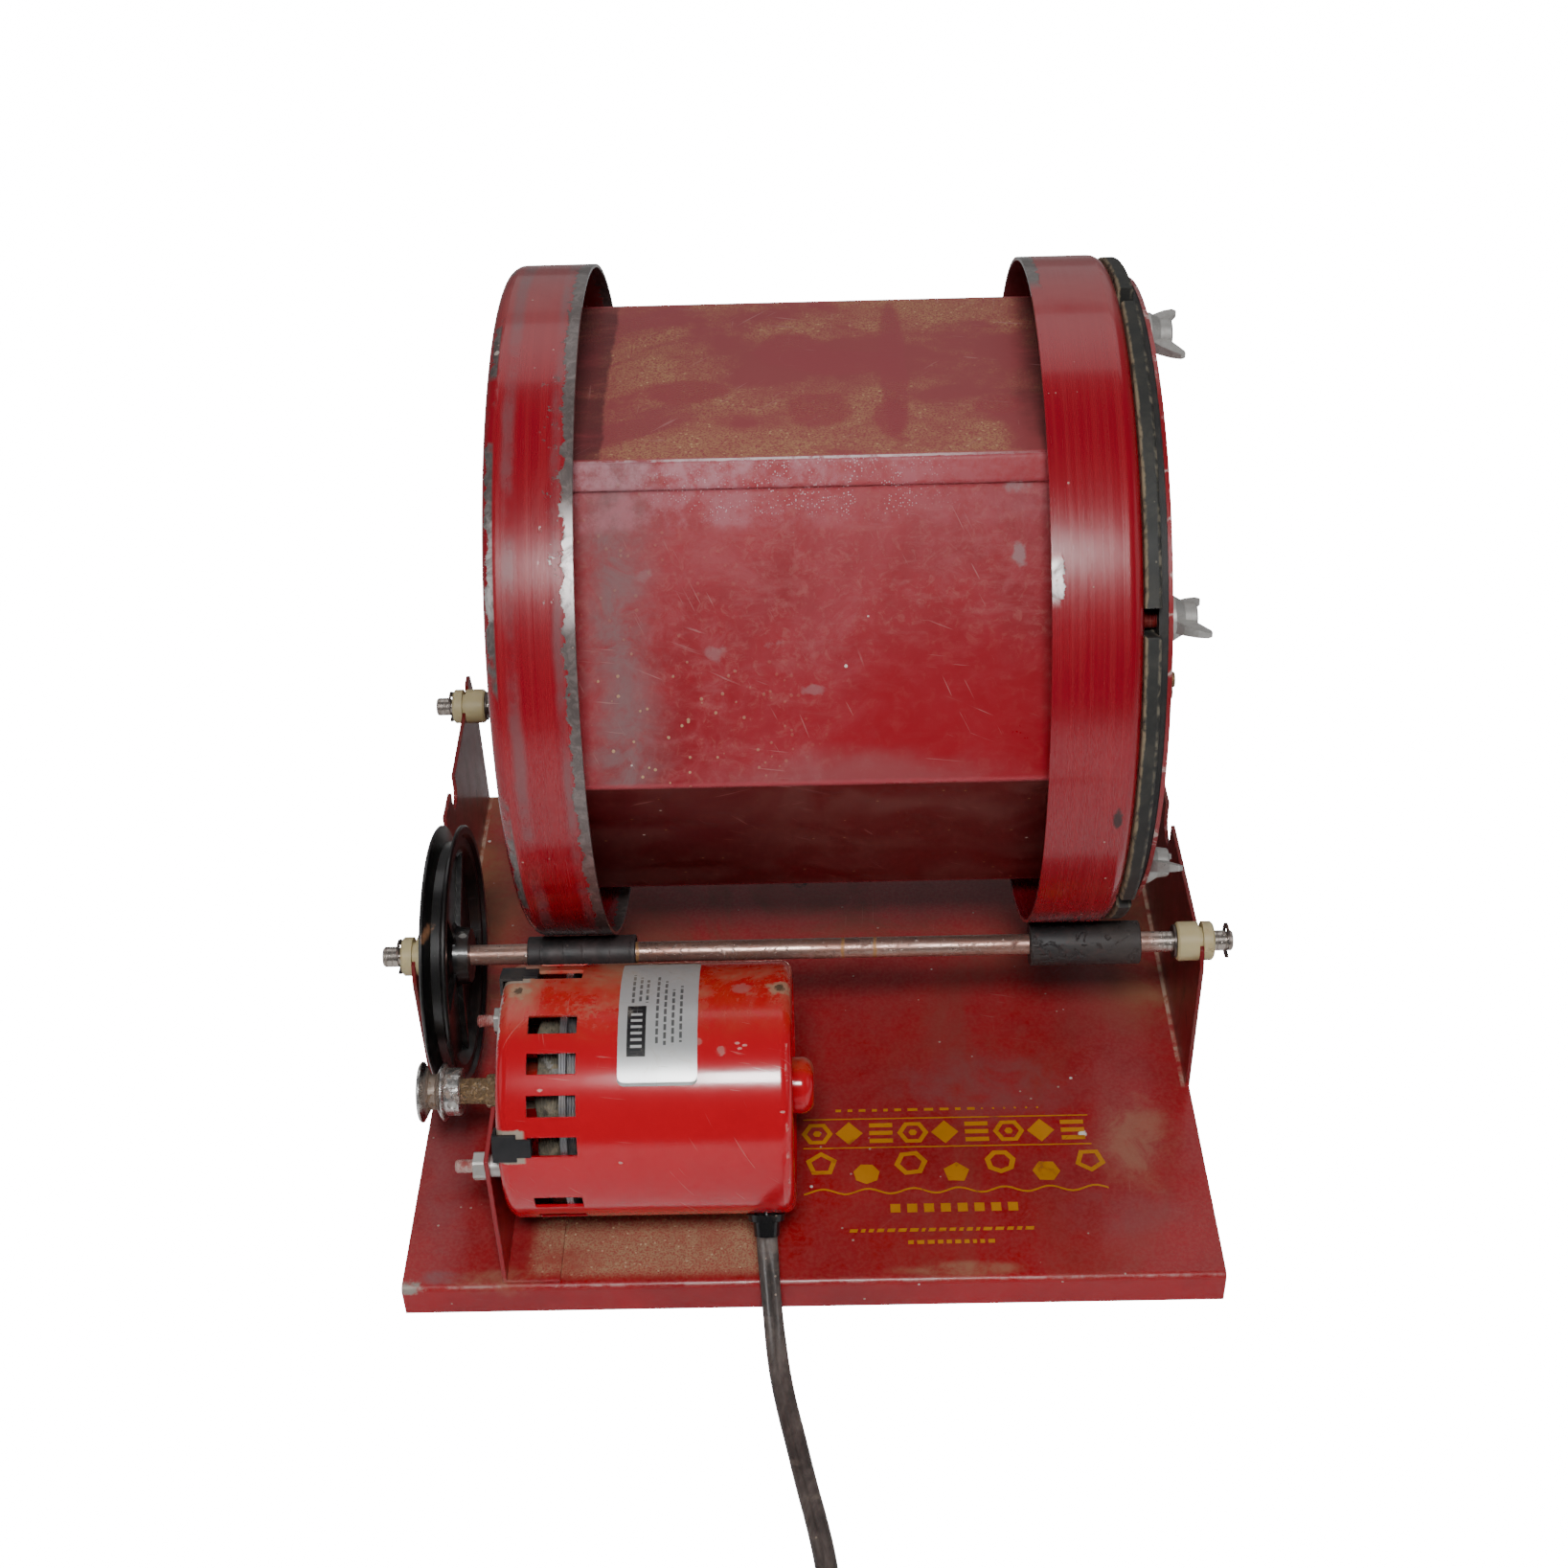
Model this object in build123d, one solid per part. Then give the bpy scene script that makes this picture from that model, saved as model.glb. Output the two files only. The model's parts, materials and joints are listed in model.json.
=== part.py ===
from build123d import *
import os
from math import cos, pi, radians, sin, sqrt, tan

# Rotary rock tumbler: a folded sheet base carries two roller shafts in nylon
# bushes. A hexagonal barrel with a round pan at each end rests on the shafts'
# rubber sleeves. A motor at the front turns the front shaft through pulleys.
# Millimetres, +X along the barrel towards its lid, +Y to the rear, +Z up.
# The origin is on the floor, under the middle of the machine's own box.

# ---- driving dimensions ----------------------------------------------------

SHEET = 1.6                     # base and bracket steel
BASE_WIDTH = 305.0
BASE_DEPTH = 294.0
LIP_HEIGHT = 14.0               # deck top above the floor
BEND_RADIUS = 2.4               # outside radius of the deck's folds

LIP_TO_DRIVE = 106.0            # front lip to the drive shaft's axis
WHEELBASE = 164.8               # drive shaft to idler shaft
SHAFT_Z = 83.3
SHAFT_RADIUS = 3.97             # 5/16 in rod
SHAFT_HALF = 164.4              # half length of both shafts
RUNNING = 0.05                  # radial clearance of a shaft in its bush

CENTRE_DISTANCE = 135.4         # shaft axis to barrel axis
CONTACT_GAP = 0.3               # left between a sleeve and the pan it carries
LEFT_SLEEVE_RADIUS = 7.1
RIGHT_SLEEVE_RADIUS = 8.4
LEFT_SLEEVE = (-107.8, -66.0)
RIGHT_SLEEVE = (86.0, 128.4)
LEFT_PAN_RADIUS = CENTRE_DISTANCE - CONTACT_GAP - LEFT_SLEEVE_RADIUS
RIGHT_PAN_RADIUS = CENTRE_DISTANCE - CONTACT_GAP - RIGHT_SLEEVE_RADIUS

BUSH_RADIUS = 7.6
BUSH_INNER = 142.6              # bush ends, from the middle of the machine
BUSH_OUTER = 156.8
BUSH_WAIST = 5.4                # radius in the groove that sits on the plate

PLATE_FRONT = 95.2              # side plate, from the front lip
PLATE_REAR = 292.0
PLATE_TOP = 84.0
FRONT_HORN_TOP = 85.6
REAR_HORN_TOP = 89.5

PAN_WALL = 1.3
PAN_WIDTH = 30.7
PAN_EDGE = 5.0                  # radius between a pan's face and its rim
LEFT_PAN_X = -103.5             # outer face of the closed pan
RIGHT_PAN_X = 114.7             # outer face of the open pan
HEX_CORNER = 112.4              # circumradius of the hexagonal body
HEX_TURN = 58.5                 # a corner's angle, from the front upwards
HEX_WALL = 1.2
SEAM_WIDTH = 10.0
LINER_WALL = 6.0
LINER_FLANGE = 5.6
LINER_FLANGE_RADIUS = 125.8
GASKET = 3.2
LID_RADIUS = 118.5
LID_THICK = 1.5
RIVET_CIRCLE = 110.5
RIVET_ANGLE = 17.6
STUD_CIRCLE = 110.0
STUD_RADIUS = 3.175             # 1/4 in stud
STUD_END = 134.0

PULLEY_X = -136.6               # middle of the large pulley's groove
PULLEY_RADIUS = 50.8
PULLEY_WIDTH = 10.0
PULLEY_SCREW_TURN = 90
PULLEY_HUB_END = -130.2
PULLEY_SCREW_X = -132.6
MOTOR_PULLEY_RADIUS = 11.2
MOTOR_PULLEY_X = -138.3         # middle of its groove
MOTOR_PULLEY_LEFT = -143.2
MOTOR_PULLEY_RIGHT = -133.0     # right face of its second flange, where the hub starts
MOTOR_SCREW_TURN = 10

MOTOR_FROM_LIP = 44.0
MOTOR_Z = 72.3
MOTOR_RADIUS = 46.0
MOTOR_LEFT = -109.3
MOTOR_RIGHT = -5.2
MOTOR_WALL = 1.3
STACK_LEFT = -86.8              # the stator's ends
STACK_RIGHT = -46.0
MOTOR_SHAFT_RADIUS = 4.76
BOLT_CIRCLE = 36.0
BOLT_RADIUS = 2.4
BOLT_ANGLES = (-1, 179)
BRACKET_X = -114.7              # left face of the motor bracket
VENT_FIRST = 20.4               # angle of the first slot in each quarter
VENT_PITCH = 18.5
VENT_WIDTH = 7.4
VENT_X = (-98.0, -80.8)

CORD_RADIUS = 3.0               # plain round stand-in for the flat twin cord
COIL_MEAN = 45.0                # mean radius of the put-away coil
COIL_HALF = 12.0                # half the coil's width
COIL_HEIGHT = 12.0

# ---- places that follow from them ------------------------------------------

FRONT = -(LIP_TO_DRIVE + WHEELBASE / 2 + LEFT_PAN_RADIUS) / 2
DRIVE_Y = FRONT + LIP_TO_DRIVE
IDLER_Y = DRIVE_Y + WHEELBASE
BARREL_Y = (DRIVE_Y + IDLER_Y) / 2
BARREL_Z = SHAFT_Z + sqrt(CENTRE_DISTANCE**2 - (WHEELBASE / 2) ** 2)
MOTOR_Y = FRONT + MOTOR_FROM_LIP
PLATE_X = BASE_WIDTH / 2 - SHEET
FLANGE_X = RIGHT_PAN_X
GASKET_X = FLANGE_X + LINER_FLANGE
LID_X = GASKET_X + GASKET
NUT_X = LID_X + LID_THICK
STUD_ANGLES = [HEX_TURN - 30 + 60 * k for k in range(6)]
NUT_TURNS = (20, 96, 64, 150, 38, 118)   # each wing nut stopped where it got tight
COIL_X, COIL_Y = 50.0, FRONT - 182.0
PLUG_HEADING = -20.0            # the plug points this way on the floor, from +X


# ---- small helpers ---------------------------------------------------------

def rod(x0, x1, radius, y=0.0, z=0.0):
    """A round bar along X."""
    return Pos((x0 + x1) / 2, y, z) * Rot(0, 90, 0) * Cylinder(radius, x1 - x0)


def ring(x0, x1, outer, inner, y=0.0, z=0.0):
    """A tube along X."""
    return rod(x0, x1, outer, y, z) - rod(x0 - 1, x1 + 1, inner, y, z)


def turned(points, y=0.0, z=0.0):
    """A profile of (x, radius) points turned about a line along X."""
    face = make_face(Polyline(*points, close=True))
    return Pos(0, y, z) * revolve(face, axis=Axis.X)


def slab(x0, x1, outline):
    """An outline of (y, z) points, thick from x0 to x1."""
    face = Plane.YZ.offset(x0) * make_face(Polyline(*outline, close=True))
    return extrude(face, x1 - x0)


def block(x0, x1, y0, y1, z0, z1):
    return Pos((x0 + x1) / 2, (y0 + y1) / 2, (z0 + z1) / 2) * Box(x1 - x0, y1 - y0, z1 - z0)


def around(angle, y=0.0, z=0.0):
    """Turns a shape made on the -Y side up by an angle about a line along X."""
    return Pos(0, y, z) * Rot(-angle, 0, 0)


def on_motor(angle):
    return around(angle, MOTOR_Y, MOTOR_Z)


def on_barrel(angle):
    return around(angle, BARREL_Y, BARREL_Z)


def prism(x0, x1, corner, turn=HEX_TURN):
    """A hexagonal bar along the barrel's axis."""
    outline = [
        (-corner * cos(radians(turn + 60 * k)), corner * sin(radians(turn + 60 * k)))
        for k in range(6)
    ]
    return Pos(0, BARREL_Y, BARREL_Z) * slab(x0, x1, outline)


def cup(x_mouth, x_face, radius, wall, edge):
    """A round pan: flat face at x_face, rounded edge, open at x_mouth."""
    low, high = sorted((x_mouth, x_face))
    face_is_high = x_face > x_mouth
    outer = rod(low, high, radius)
    rim = outer.edges().filter_by(GeomType.CIRCLE).sort_by(Axis.X)[-1 if face_is_high else 0]
    outer = fillet(rim, edge)
    inner = rod(low - (10 if face_is_high else -wall), high + (-wall if face_is_high else 10),
                radius - wall)
    rim = inner.edges().filter_by(GeomType.CIRCLE).sort_by(Axis.X)[-1 if face_is_high else 0]
    return outer - fillet(rim, edge - wall)


# ---- base ------------------------------------------------------------------

def plate_outline():
    """Side plate in (y, z): two bush slots, two spare slots and two horns."""
    y = lambda from_lip: FRONT + from_lip
    return [
        (y(PLATE_FRONT), LIP_HEIGHT - SHEET), (y(PLATE_REAR), LIP_HEIGHT - SHEET),
        (y(PLATE_REAR), 70.0), (y(286.0), REAR_HORN_TOP), (y(279.0), REAR_HORN_TOP),
        (y(277.5), PLATE_TOP), (y(224.0), PLATE_TOP - 2), (y(PLATE_FRONT + 18), PLATE_TOP),
        (y(104.0), PLATE_TOP), (y(100.4), FRONT_HORN_TOP), (y(98.2), FRONT_HORN_TOP),
        (y(PLATE_FRONT), PLATE_TOP - 6),
    ]


def side_plate(x0):
    plate = slab(x0, x0 + SHEET, plate_outline())
    for slot_y in (DRIVE_Y, IDLER_Y):
        plate -= open_slot(x0, slot_y, SHAFT_Z, BUSH_WAIST)
    plate -= open_slot(x0, FRONT + 184.5, 76.0, 7.6)
    plate -= open_slot(x0, FRONT + 215.5, 76.5, 6.2)
    corners = plate.edges().filter_by(Axis.X).group_by(Axis.Z)[-1]
    return fillet(corners, 0.9)


def open_slot(x0, y, z, radius):
    """A U-shaped slot, open at the top of a plate."""
    cut = rod(x0 - 1, x0 + SHEET + 1, radius, y, z)
    return cut + block(x0 - 1, x0 + SHEET + 1, y - radius, y + radius, z, 120)


def base_frame():
    """Folded sheet tray, open underneath, with an upright plate at each side."""
    half = BASE_WIDTH / 2
    deck = block(-half, half, FRONT, FRONT + BASE_DEPTH, 0, LIP_HEIGHT)
    folds = deck.edges().filter_by(Axis.X).group_by(Axis.Z)[-1]
    deck = fillet(folds, BEND_RADIUS)
    hollow = block(-half - 1, half + 1, FRONT + SHEET, FRONT + BASE_DEPTH - SHEET,
                   -5, LIP_HEIGHT - SHEET)
    folds = hollow.edges().filter_by(Axis.X).group_by(Axis.Z)[-1]
    deck -= fillet(folds, BEND_RADIUS - SHEET)
    frame = deck + side_plate(-half) + side_plate(half - SHEET)
    for x, y in bracket_holes():
        frame -= Pos(x, y, LIP_HEIGHT) * Cylinder(2.1, 10)
    return frame


# ---- motor bracket ---------------------------------------------------------

def bracket_holes():
    return [(-103.0, FRONT + 50.0), (-103.0, FRONT + 76.0)]


def motor_bracket():
    """An angle bracket: its foot is on the deck, its web holds the motor's end."""
    y = lambda from_lip: FRONT + from_lip
    top = MOTOR_Z + 7.5
    web = slab(BRACKET_X, BRACKET_X + SHEET, [
        (y(1.8), LIP_HEIGHT), (y(86.0), LIP_HEIGHT), (y(86.0), top), (y(59.0), top),
        (y(57.5), 60.0), (y(30.5), 60.0), (y(29.0), top), (y(2.6), top),
    ])
    foot = block(BRACKET_X, -93.4, y(1.8), y(86.0), LIP_HEIGHT, LIP_HEIGHT + SHEET)
    bend = foot + web
    bend -= rod(BRACKET_X - 1, BRACKET_X + SHEET + 1, 14.5, MOTOR_Y, MOTOR_Z)
    for angle in BOLT_ANGLES:
        bend -= on_motor(angle) * rod(-120, -110, BOLT_RADIUS, -BOLT_CIRCLE)
    for x, hole_y in bracket_holes():
        bend -= Pos(x, hole_y, LIP_HEIGHT) * Cylinder(2.1, 10)
    return bend


def bracket_screws():
    """Round-headed screws through the bracket's foot, each with a nut under the deck."""
    screws = []
    for x, y in bracket_holes():
        top = LIP_HEIGHT + SHEET
        head = Pos(x, y, top + 1.3) * Cylinder(4.0, 2.6)
        head = fillet(head.edges().group_by(Axis.Z)[-1], 1.2)
        shank = Pos(x, y, top - 4.2) * Cylinder(2.1, 8.4)
        nut = Pos(x, y, LIP_HEIGHT - SHEET - 1.6) * extrude(RegularPolygon(4.4, 6), 1.6, both=True)
        screws.append(head + shank + nut)
    return screws


# ---- roller shafts ---------------------------------------------------------

def bushing(side, y):
    """Nylon bush that drops into a slot and grips the plate in its groove."""
    plate = (PLATE_X, PLATE_X + SHEET)
    points = [
        (BUSH_INNER, SHAFT_RADIUS + RUNNING), (BUSH_INNER, BUSH_RADIUS - 0.8),
        (BUSH_INNER + 0.8, BUSH_RADIUS), (plate[0], BUSH_RADIUS), (plate[0], BUSH_WAIST),
        (plate[1], BUSH_WAIST), (plate[1], BUSH_RADIUS), (BUSH_OUTER - 0.8, BUSH_RADIUS),
        (BUSH_OUTER, BUSH_RADIUS - 0.8), (BUSH_OUTER, SHAFT_RADIUS + RUNNING),
    ]
    return turned([(side * x, r) for x, r in points], y, SHAFT_Z)


def roller_shaft(y):
    """A plain rod with a clip groove near each end."""
    bar = rod(-SHAFT_HALF, SHAFT_HALF, SHAFT_RADIUS, y, SHAFT_Z)
    bar = chamfer(bar.edges().filter_by(GeomType.CIRCLE), 0.6)
    for x in clip_places():
        bar -= ring(x - 0.45, x + 0.45, SHAFT_RADIUS + 1, SHAFT_RADIUS - 0.7, y, SHAFT_Z)
    return bar


def clip_places():
    return (-158.0, 162.2)


def retaining_clip(x, y):
    """An E-clip: three lugs grip the groove, with an open mouth."""
    disc = ring(x - 0.4, x + 0.4, 6.8, SHAFT_RADIUS + 1.1, y, SHAFT_Z)
    lugs = ring(x - 0.4, x + 0.4, 5.5, SHAFT_RADIUS - 0.7, y, SHAFT_Z)
    for turn in (0, 120, 240):
        wedge = Pos(x, y, SHAFT_Z) * Rot(turn + 30, 0, 0) * Pos(0, 0, 5) * Box(2, 2.6, 10)
        disc += lugs & wedge
    mouth = Pos(x, y, SHAFT_Z) * Rot(90, 0, 0) * Pos(0, 0, 6) * Box(2, 6.4, 8)
    return disc - mouth


def clips(y):
    return [retaining_clip(x, y) for x in clip_places()]


def thrust_washers(y):
    """Thin washers between the bushes and the parts inboard of them."""
    inner = BUSH_INNER - 0.3
    return [
        ring(-inner, -inner + 0.6, 6.4, SHAFT_RADIUS, y, SHAFT_Z),
        ring(inner - 0.9, inner, 6.4, SHAFT_RADIUS, y, SHAFT_Z),
    ]


def sleeve(span, radius, y):
    """The soft tube that a pan rolls on."""
    tube = rod(*span, radius, y, SHAFT_Z)
    tube = fillet(tube.edges().filter_by(GeomType.CIRCLE), 0.7)
    return tube - rod(span[0] - 1, span[1] + 1, SHAFT_RADIUS, y, SHAFT_Z)


# ---- pulleys ---------------------------------------------------------------

def drive_pulley():
    """Moulded pulley: a V groove, a dished web with low ribs, and a hub."""
    left, right = PULLEY_X - PULLEY_WIDTH / 2, PULLEY_X + PULLEY_WIDTH / 2
    rim = PULLEY_RADIUS
    web = right - 5.2
    body = turned([
        (left, SHAFT_RADIUS), (left, rim - 0.8), (left + 0.6, rim), (left + 1.3, rim),
        (PULLEY_X - 1.6, rim - 6.4), (PULLEY_X + 1.6, rim - 6.4),
        (right - 1.3, rim), (right - 0.6, rim), (right, rim - 0.8), (right, rim - 3.4),
        (right - 1.4, rim - 4.6), (right - 1.4, rim - 8.6), (web, rim - 12.0), (web, 13.0),
        (web + 1.0, 11.5), (PULLEY_HUB_END, 10.5), (PULLEY_HUB_END, SHAFT_RADIUS),
    ])
    for k in range(5):
        rib = block(web - 0.5, web + 2.2, -1.2, 1.2, 10, rim - 9.5)
        body += Rot(72 * k + 20, 0, 0) * rib
    screw_hole = Pos(PULLEY_SCREW_X, 0, 8) * Cylinder(1.9, 9)
    return Pos(0, DRIVE_Y, SHAFT_Z) * (body - screw_hole)


def set_screw(x, y, z, turn, radius, low, high):
    """A headless screw in a pulley's hub, from radius low to high about its shaft."""
    return around(turn, y, z) * Pos(x, -(low + high) / 2, 0) * Rot(90, 0, 0) * Cylinder(
        radius, high - low)


def motor_pulley():
    """Small metal pulley: one V groove and a round hub with a set screw."""
    left, right = MOTOR_PULLEY_LEFT, MOTOR_PULLEY_RIGHT
    rim = MOTOR_PULLEY_RADIUS
    body = turned([
        (left, MOTOR_SHAFT_RADIUS), (left, rim - 0.6), (left + 0.6, rim), (left + 1.2, rim),
        (MOTOR_PULLEY_X - 1.2, rim - 4.6), (MOTOR_PULLEY_X + 1.2, rim - 4.6),
        (right - 1.6, rim - 0.4),
        (right - 0.9, rim - 0.4), (right - 0.4, rim - 1.2), (right - 0.2, 8.8),
        (right + 4.8, 8.8), (right + 5.4, 8.2), (right + 5.4, MOTOR_SHAFT_RADIUS),
    ])
    hole = around(MOTOR_SCREW_TURN) * Pos(right + 2.6, -8, 0) * Rot(90, 0, 0) * Cylinder(1.8, 8)
    return Pos(0, MOTOR_Y, MOTOR_Z) * (body - hole)


# ---- motor -----------------------------------------------------------------

def vent_angles():
    """Four groups of four slots round the motor's left end."""
    return [VENT_FIRST + 90 * group + VENT_PITCH * k for group in range(4) for k in range(4)]


def motor_shell():
    outer = rod(MOTOR_LEFT, MOTOR_RIGHT, MOTOR_RADIUS)
    outer = fillet(outer.edges().filter_by(GeomType.CIRCLE), 4.2)
    inner = rod(MOTOR_LEFT + MOTOR_WALL, MOTOR_RIGHT - MOTOR_WALL, MOTOR_RADIUS - MOTOR_WALL)
    inner = fillet(inner.edges().filter_by(GeomType.CIRCLE), 4.2 - MOTOR_WALL)
    shell = outer - inner - rod(MOTOR_LEFT - 1, MOTOR_RIGHT + 1, 40.0)
    for angle in vent_angles():
        shell -= around(angle) * block(*VENT_X, -55, -40, -VENT_WIDTH / 2, VENT_WIDTH / 2)
    shell -= around(-48) * Pos(-16.4, -46, 0) * Rot(90, 0, 0) * Cylinder(4.6, 14)
    return Pos(0, MOTOR_Y, MOTOR_Z) * shell


def end_bell_left():
    """Disc in the shell's left end, with the bearing's seat."""
    bell = rod(MOTOR_LEFT + 0.2, MOTOR_LEFT + 2.8, 40.0) + rod(-111.6, -97.0, 12.0)
    bell = chamfer(bell.edges().filter_by(GeomType.CIRCLE).sort_by(Axis.X)[0], 1.5)
    bell -= rod(-109.0, -90.0, 8.0) + rod(-115, -90, 6.2)
    for angle in BOLT_ANGLES:
        bell -= around(angle) * rod(-112, -100, BOLT_RADIUS, -BOLT_CIRCLE)
    return Pos(0, MOTOR_Y, MOTOR_Z) * bell


def end_bell_right():
    """Disc in the shell's right end, with a domed bearing cap."""
    cap = rod(-18.0, 2.0, 10.4)
    cap = fillet(cap.edges().filter_by(GeomType.CIRCLE).sort_by(Axis.X)[-1], 4.6)
    bell = rod(-12.4, -9.8, MOTOR_RADIUS - MOTOR_WALL) + cap
    bell -= rod(-20.0, -5.0, 8.0) + rod(-20, -1.5, 5.4)
    for angle in BOLT_ANGLES:
        bell -= around(angle) * rod(-14, 0, BOLT_RADIUS, -BOLT_CIRCLE)
    return Pos(0, MOTOR_Y, MOTOR_Z) * bell


def end_clips():
    """Four dark tabs folded over the shell's left edge, each with a tongue into a slot."""
    outer, clear = MOTOR_RADIUS + 1.0, MOTOR_RADIUS + 0.02
    left, slot = MOTOR_LEFT - 1.1, VENT_X[0]
    band = ring(left, slot + 1.1, outer, clear)
    lip = ring(left, MOTOR_LEFT - 0.02, outer, 40.5)
    hook = ring(slot + 0.1, slot + 1.1, outer, MOTOR_RADIUS - 3.0)
    clips = []
    for quarter in range(4):
        wide = block(left - 1, -102.0, -60, -35, -5.1, 5.1)
        tongue = block(-102.0, slot + 2, -60, -35, -3.4, 3.4)
        clips.append(on_motor(VENT_FIRST + 90 * quarter) * ((band + lip + hook) & (wide + tongue)))
    return clips


def motor_stator():
    """Laminated ring with eight slots for the windings and a groove near its left end."""
    bore = 22.0
    stack = ring(STACK_LEFT, STACK_RIGHT, MOTOR_RADIUS - MOTOR_WALL, bore)
    stack -= ring(-84.4, -80.4, MOTOR_RADIUS, 39.5)
    for k in range(8):
        stack -= Rot(45 * k + 22.5, 0, 0) * block(-90, -44, 24.5, 32, -4.5, 4.5)
    for angle in BOLT_ANGLES:
        stack -= around(angle) * rod(-90, -44, BOLT_RADIUS + 0.3, -BOLT_CIRCLE)
    return Pos(0, MOTOR_Y, MOTOR_Z) * stack


def motor_windings():
    """The rounded bundles of wire at both ends of the stator."""
    bundles = []
    for x0, x1 in ((STACK_LEFT - 11.0, STACK_LEFT), (STACK_RIGHT, STACK_RIGHT + 11.0)):
        bundle = ring(x0, x1, 33.0, 24.0, MOTOR_Y, MOTOR_Z)
        bundles.append(fillet(bundle.edges().filter_by(GeomType.CIRCLE), 3.0))
    return bundles


def motor_bearing(x0, x1):
    return ring(x0, x1, 8.0, MOTOR_SHAFT_RADIUS + RUNNING, MOTOR_Y, MOTOR_Z)


def motor_shaft():
    bar = rod(MOTOR_PULLEY_LEFT - 0.4, -5.6, MOTOR_SHAFT_RADIUS, MOTOR_Y, MOTOR_Z)
    bar = chamfer(bar.edges().filter_by(GeomType.CIRCLE), 0.6)
    collar = rod(-118.6, -112.4, 6.2, MOTOR_Y, MOTOR_Z)
    return bar + fillet(collar.edges().filter_by(GeomType.CIRCLE), 0.8)


def rotor_core():
    core = rod(STACK_LEFT, STACK_RIGHT, 21.5)
    for k in range(12):
        core -= Rot(30 * k, 0, 0) * rod(-90, -44, 1.2, 19.0)
    return Pos(0, MOTOR_Y, MOTOR_Z) * (core - rod(-90, -44, MOTOR_SHAFT_RADIUS))


def cooling_fan():
    """Small sheet fan behind the right end: a disc with bent-up blades."""
    fan = ring(-31.0, -29.8, 27.0, MOTOR_SHAFT_RADIUS) + ring(-31, -25, 8.0, MOTOR_SHAFT_RADIUS)
    for k in range(8):
        fan += Rot(45 * k, 0, 0) * Pos(-25.9, 19.5, 0) * Box(8.0, 15.0, 1.2)
    return Pos(0, MOTOR_Y, MOTOR_Z) * fan


def through_bolts():
    """Long bolts that clamp the bells together and carry the motor."""
    bolts = []
    for angle in BOLT_ANGLES:
        shank = rod(-126.0, -8.4, BOLT_RADIUS - 0.05, -BOLT_CIRCLE)
        shank = chamfer(shank.edges().filter_by(GeomType.CIRCLE), 0.5)
        head = rod(-9.8, -7.0, 3.8, -BOLT_CIRCLE)
        head = fillet(head.edges().filter_by(GeomType.CIRCLE).sort_by(Axis.X)[-1], 1.4)
        bolts.append(on_motor(angle) * (shank + head))
    return bolts


def motor_nuts():
    nuts = []
    for angle in BOLT_ANGLES:
        hexagon = Plane.YZ.offset(BRACKET_X - 4.6) * RegularPolygon(5.4, 6)
        nut = extrude(hexagon, 4.6) & rod(BRACKET_X - 4.6, BRACKET_X, 5.1)
        nut -= rod(BRACKET_X - 6, BRACKET_X + 1, BOLT_RADIUS - 0.05)
        spacer = ring(BRACKET_X + SHEET, MOTOR_LEFT + 0.2, 4.0, BOLT_RADIUS - 0.05)
        for piece in (nut, spacer):
            nuts.append(on_motor(angle) * Pos(0, -BOLT_CIRCLE, 0) * piece)
    return nuts


def motor_nameplate():
    """Thin foil label wrapped over the top of the shell, with rounded corners."""
    low, high = 48.0, 122.0
    foil = ring(-66.2, -38.2, MOTOR_RADIUS + 0.25, MOTOR_RADIUS, MOTOR_Y, MOTOR_Z)
    arc = [
        (-60 * cos(radians(a)), 60 * sin(radians(a)))
        for a in (low, (2 * low + high) / 3, (low + 2 * high) / 3, high)
    ]
    sector = slab(-70, -30, [(0, 0)] + arc)
    return foil & Pos(0, MOTOR_Y, MOTOR_Z) * sector


def cord_grommet():
    """Strain relief: a flange inside the shell cut off beside the bell, a neck, a flange, a nose."""
    radius = MOTOR_RADIUS
    body = turned([
        (radius - 5.0, 0), (radius - 5.0, 6.4), (radius - 2.2, 6.4), (radius - 2.2, 4.5),
        (radius + 0.4, 4.5), (radius + 0.4, 7.2), (radius + 3.0, 6.8), (radius + 3.4, 5.2),
        (radius + 8.6, 4.6), (radius + 8.6, 0),
    ])
    grommet = Pos(-16.4, 0, 0) * Rot(0, 0, -90) * body
    return on_motor(-48) * (grommet - block(-12.6, 0, -radius, -radius + 8, -10, 10))


# ---- barrel ----------------------------------------------------------------

def barrel_tube():
    """Hexagonal sheet body with a lapped seam beside one corner."""
    x0, x1 = LEFT_PAN_X + PAN_WALL, RIGHT_PAN_X - PAN_WALL
    tube = prism(x0, x1, HEX_CORNER)
    flat = HEX_CORNER * cos(radians(30))
    inside = (flat - HEX_WALL) / cos(radians(30))
    lap = on_barrel(HEX_TURN - 30) * block(
        x0 + 6, x1 - 6, -flat - 1.1, -flat, HEX_CORNER / 2 - SEAM_WIDTH, HEX_CORNER / 2 - 0.4)
    return tube + lap - prism(x0 - 1, x1 + 1, inside)


def closed_end_pan():
    mouth = LEFT_PAN_X + PAN_WIDTH
    pan = cup(mouth, LEFT_PAN_X, LEFT_PAN_RADIUS, PAN_WALL, PAN_EDGE)
    bead = turned([(LEFT_PAN_X - 0.01, 58), (LEFT_PAN_X + 1.2, 58), (LEFT_PAN_X + 1.2, 52),
                   (LEFT_PAN_X - 0.01, 52)])
    return Pos(0, BARREL_Y, BARREL_Z) * (pan - bead)


def open_end_pan():
    mouth = RIGHT_PAN_X - PAN_WIDTH
    pan = Pos(0, BARREL_Y, BARREL_Z) * cup(mouth, RIGHT_PAN_X, RIGHT_PAN_RADIUS, PAN_WALL, PAN_EDGE)
    pan -= prism(RIGHT_PAN_X - 5, RIGHT_PAN_X + 5, liner_corner())
    for angle in STUD_ANGLES:
        pan -= on_barrel(angle) * rod(RIGHT_PAN_X - 4, RIGHT_PAN_X + 4, STUD_RADIUS, -STUD_CIRCLE)
    return pan


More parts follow.
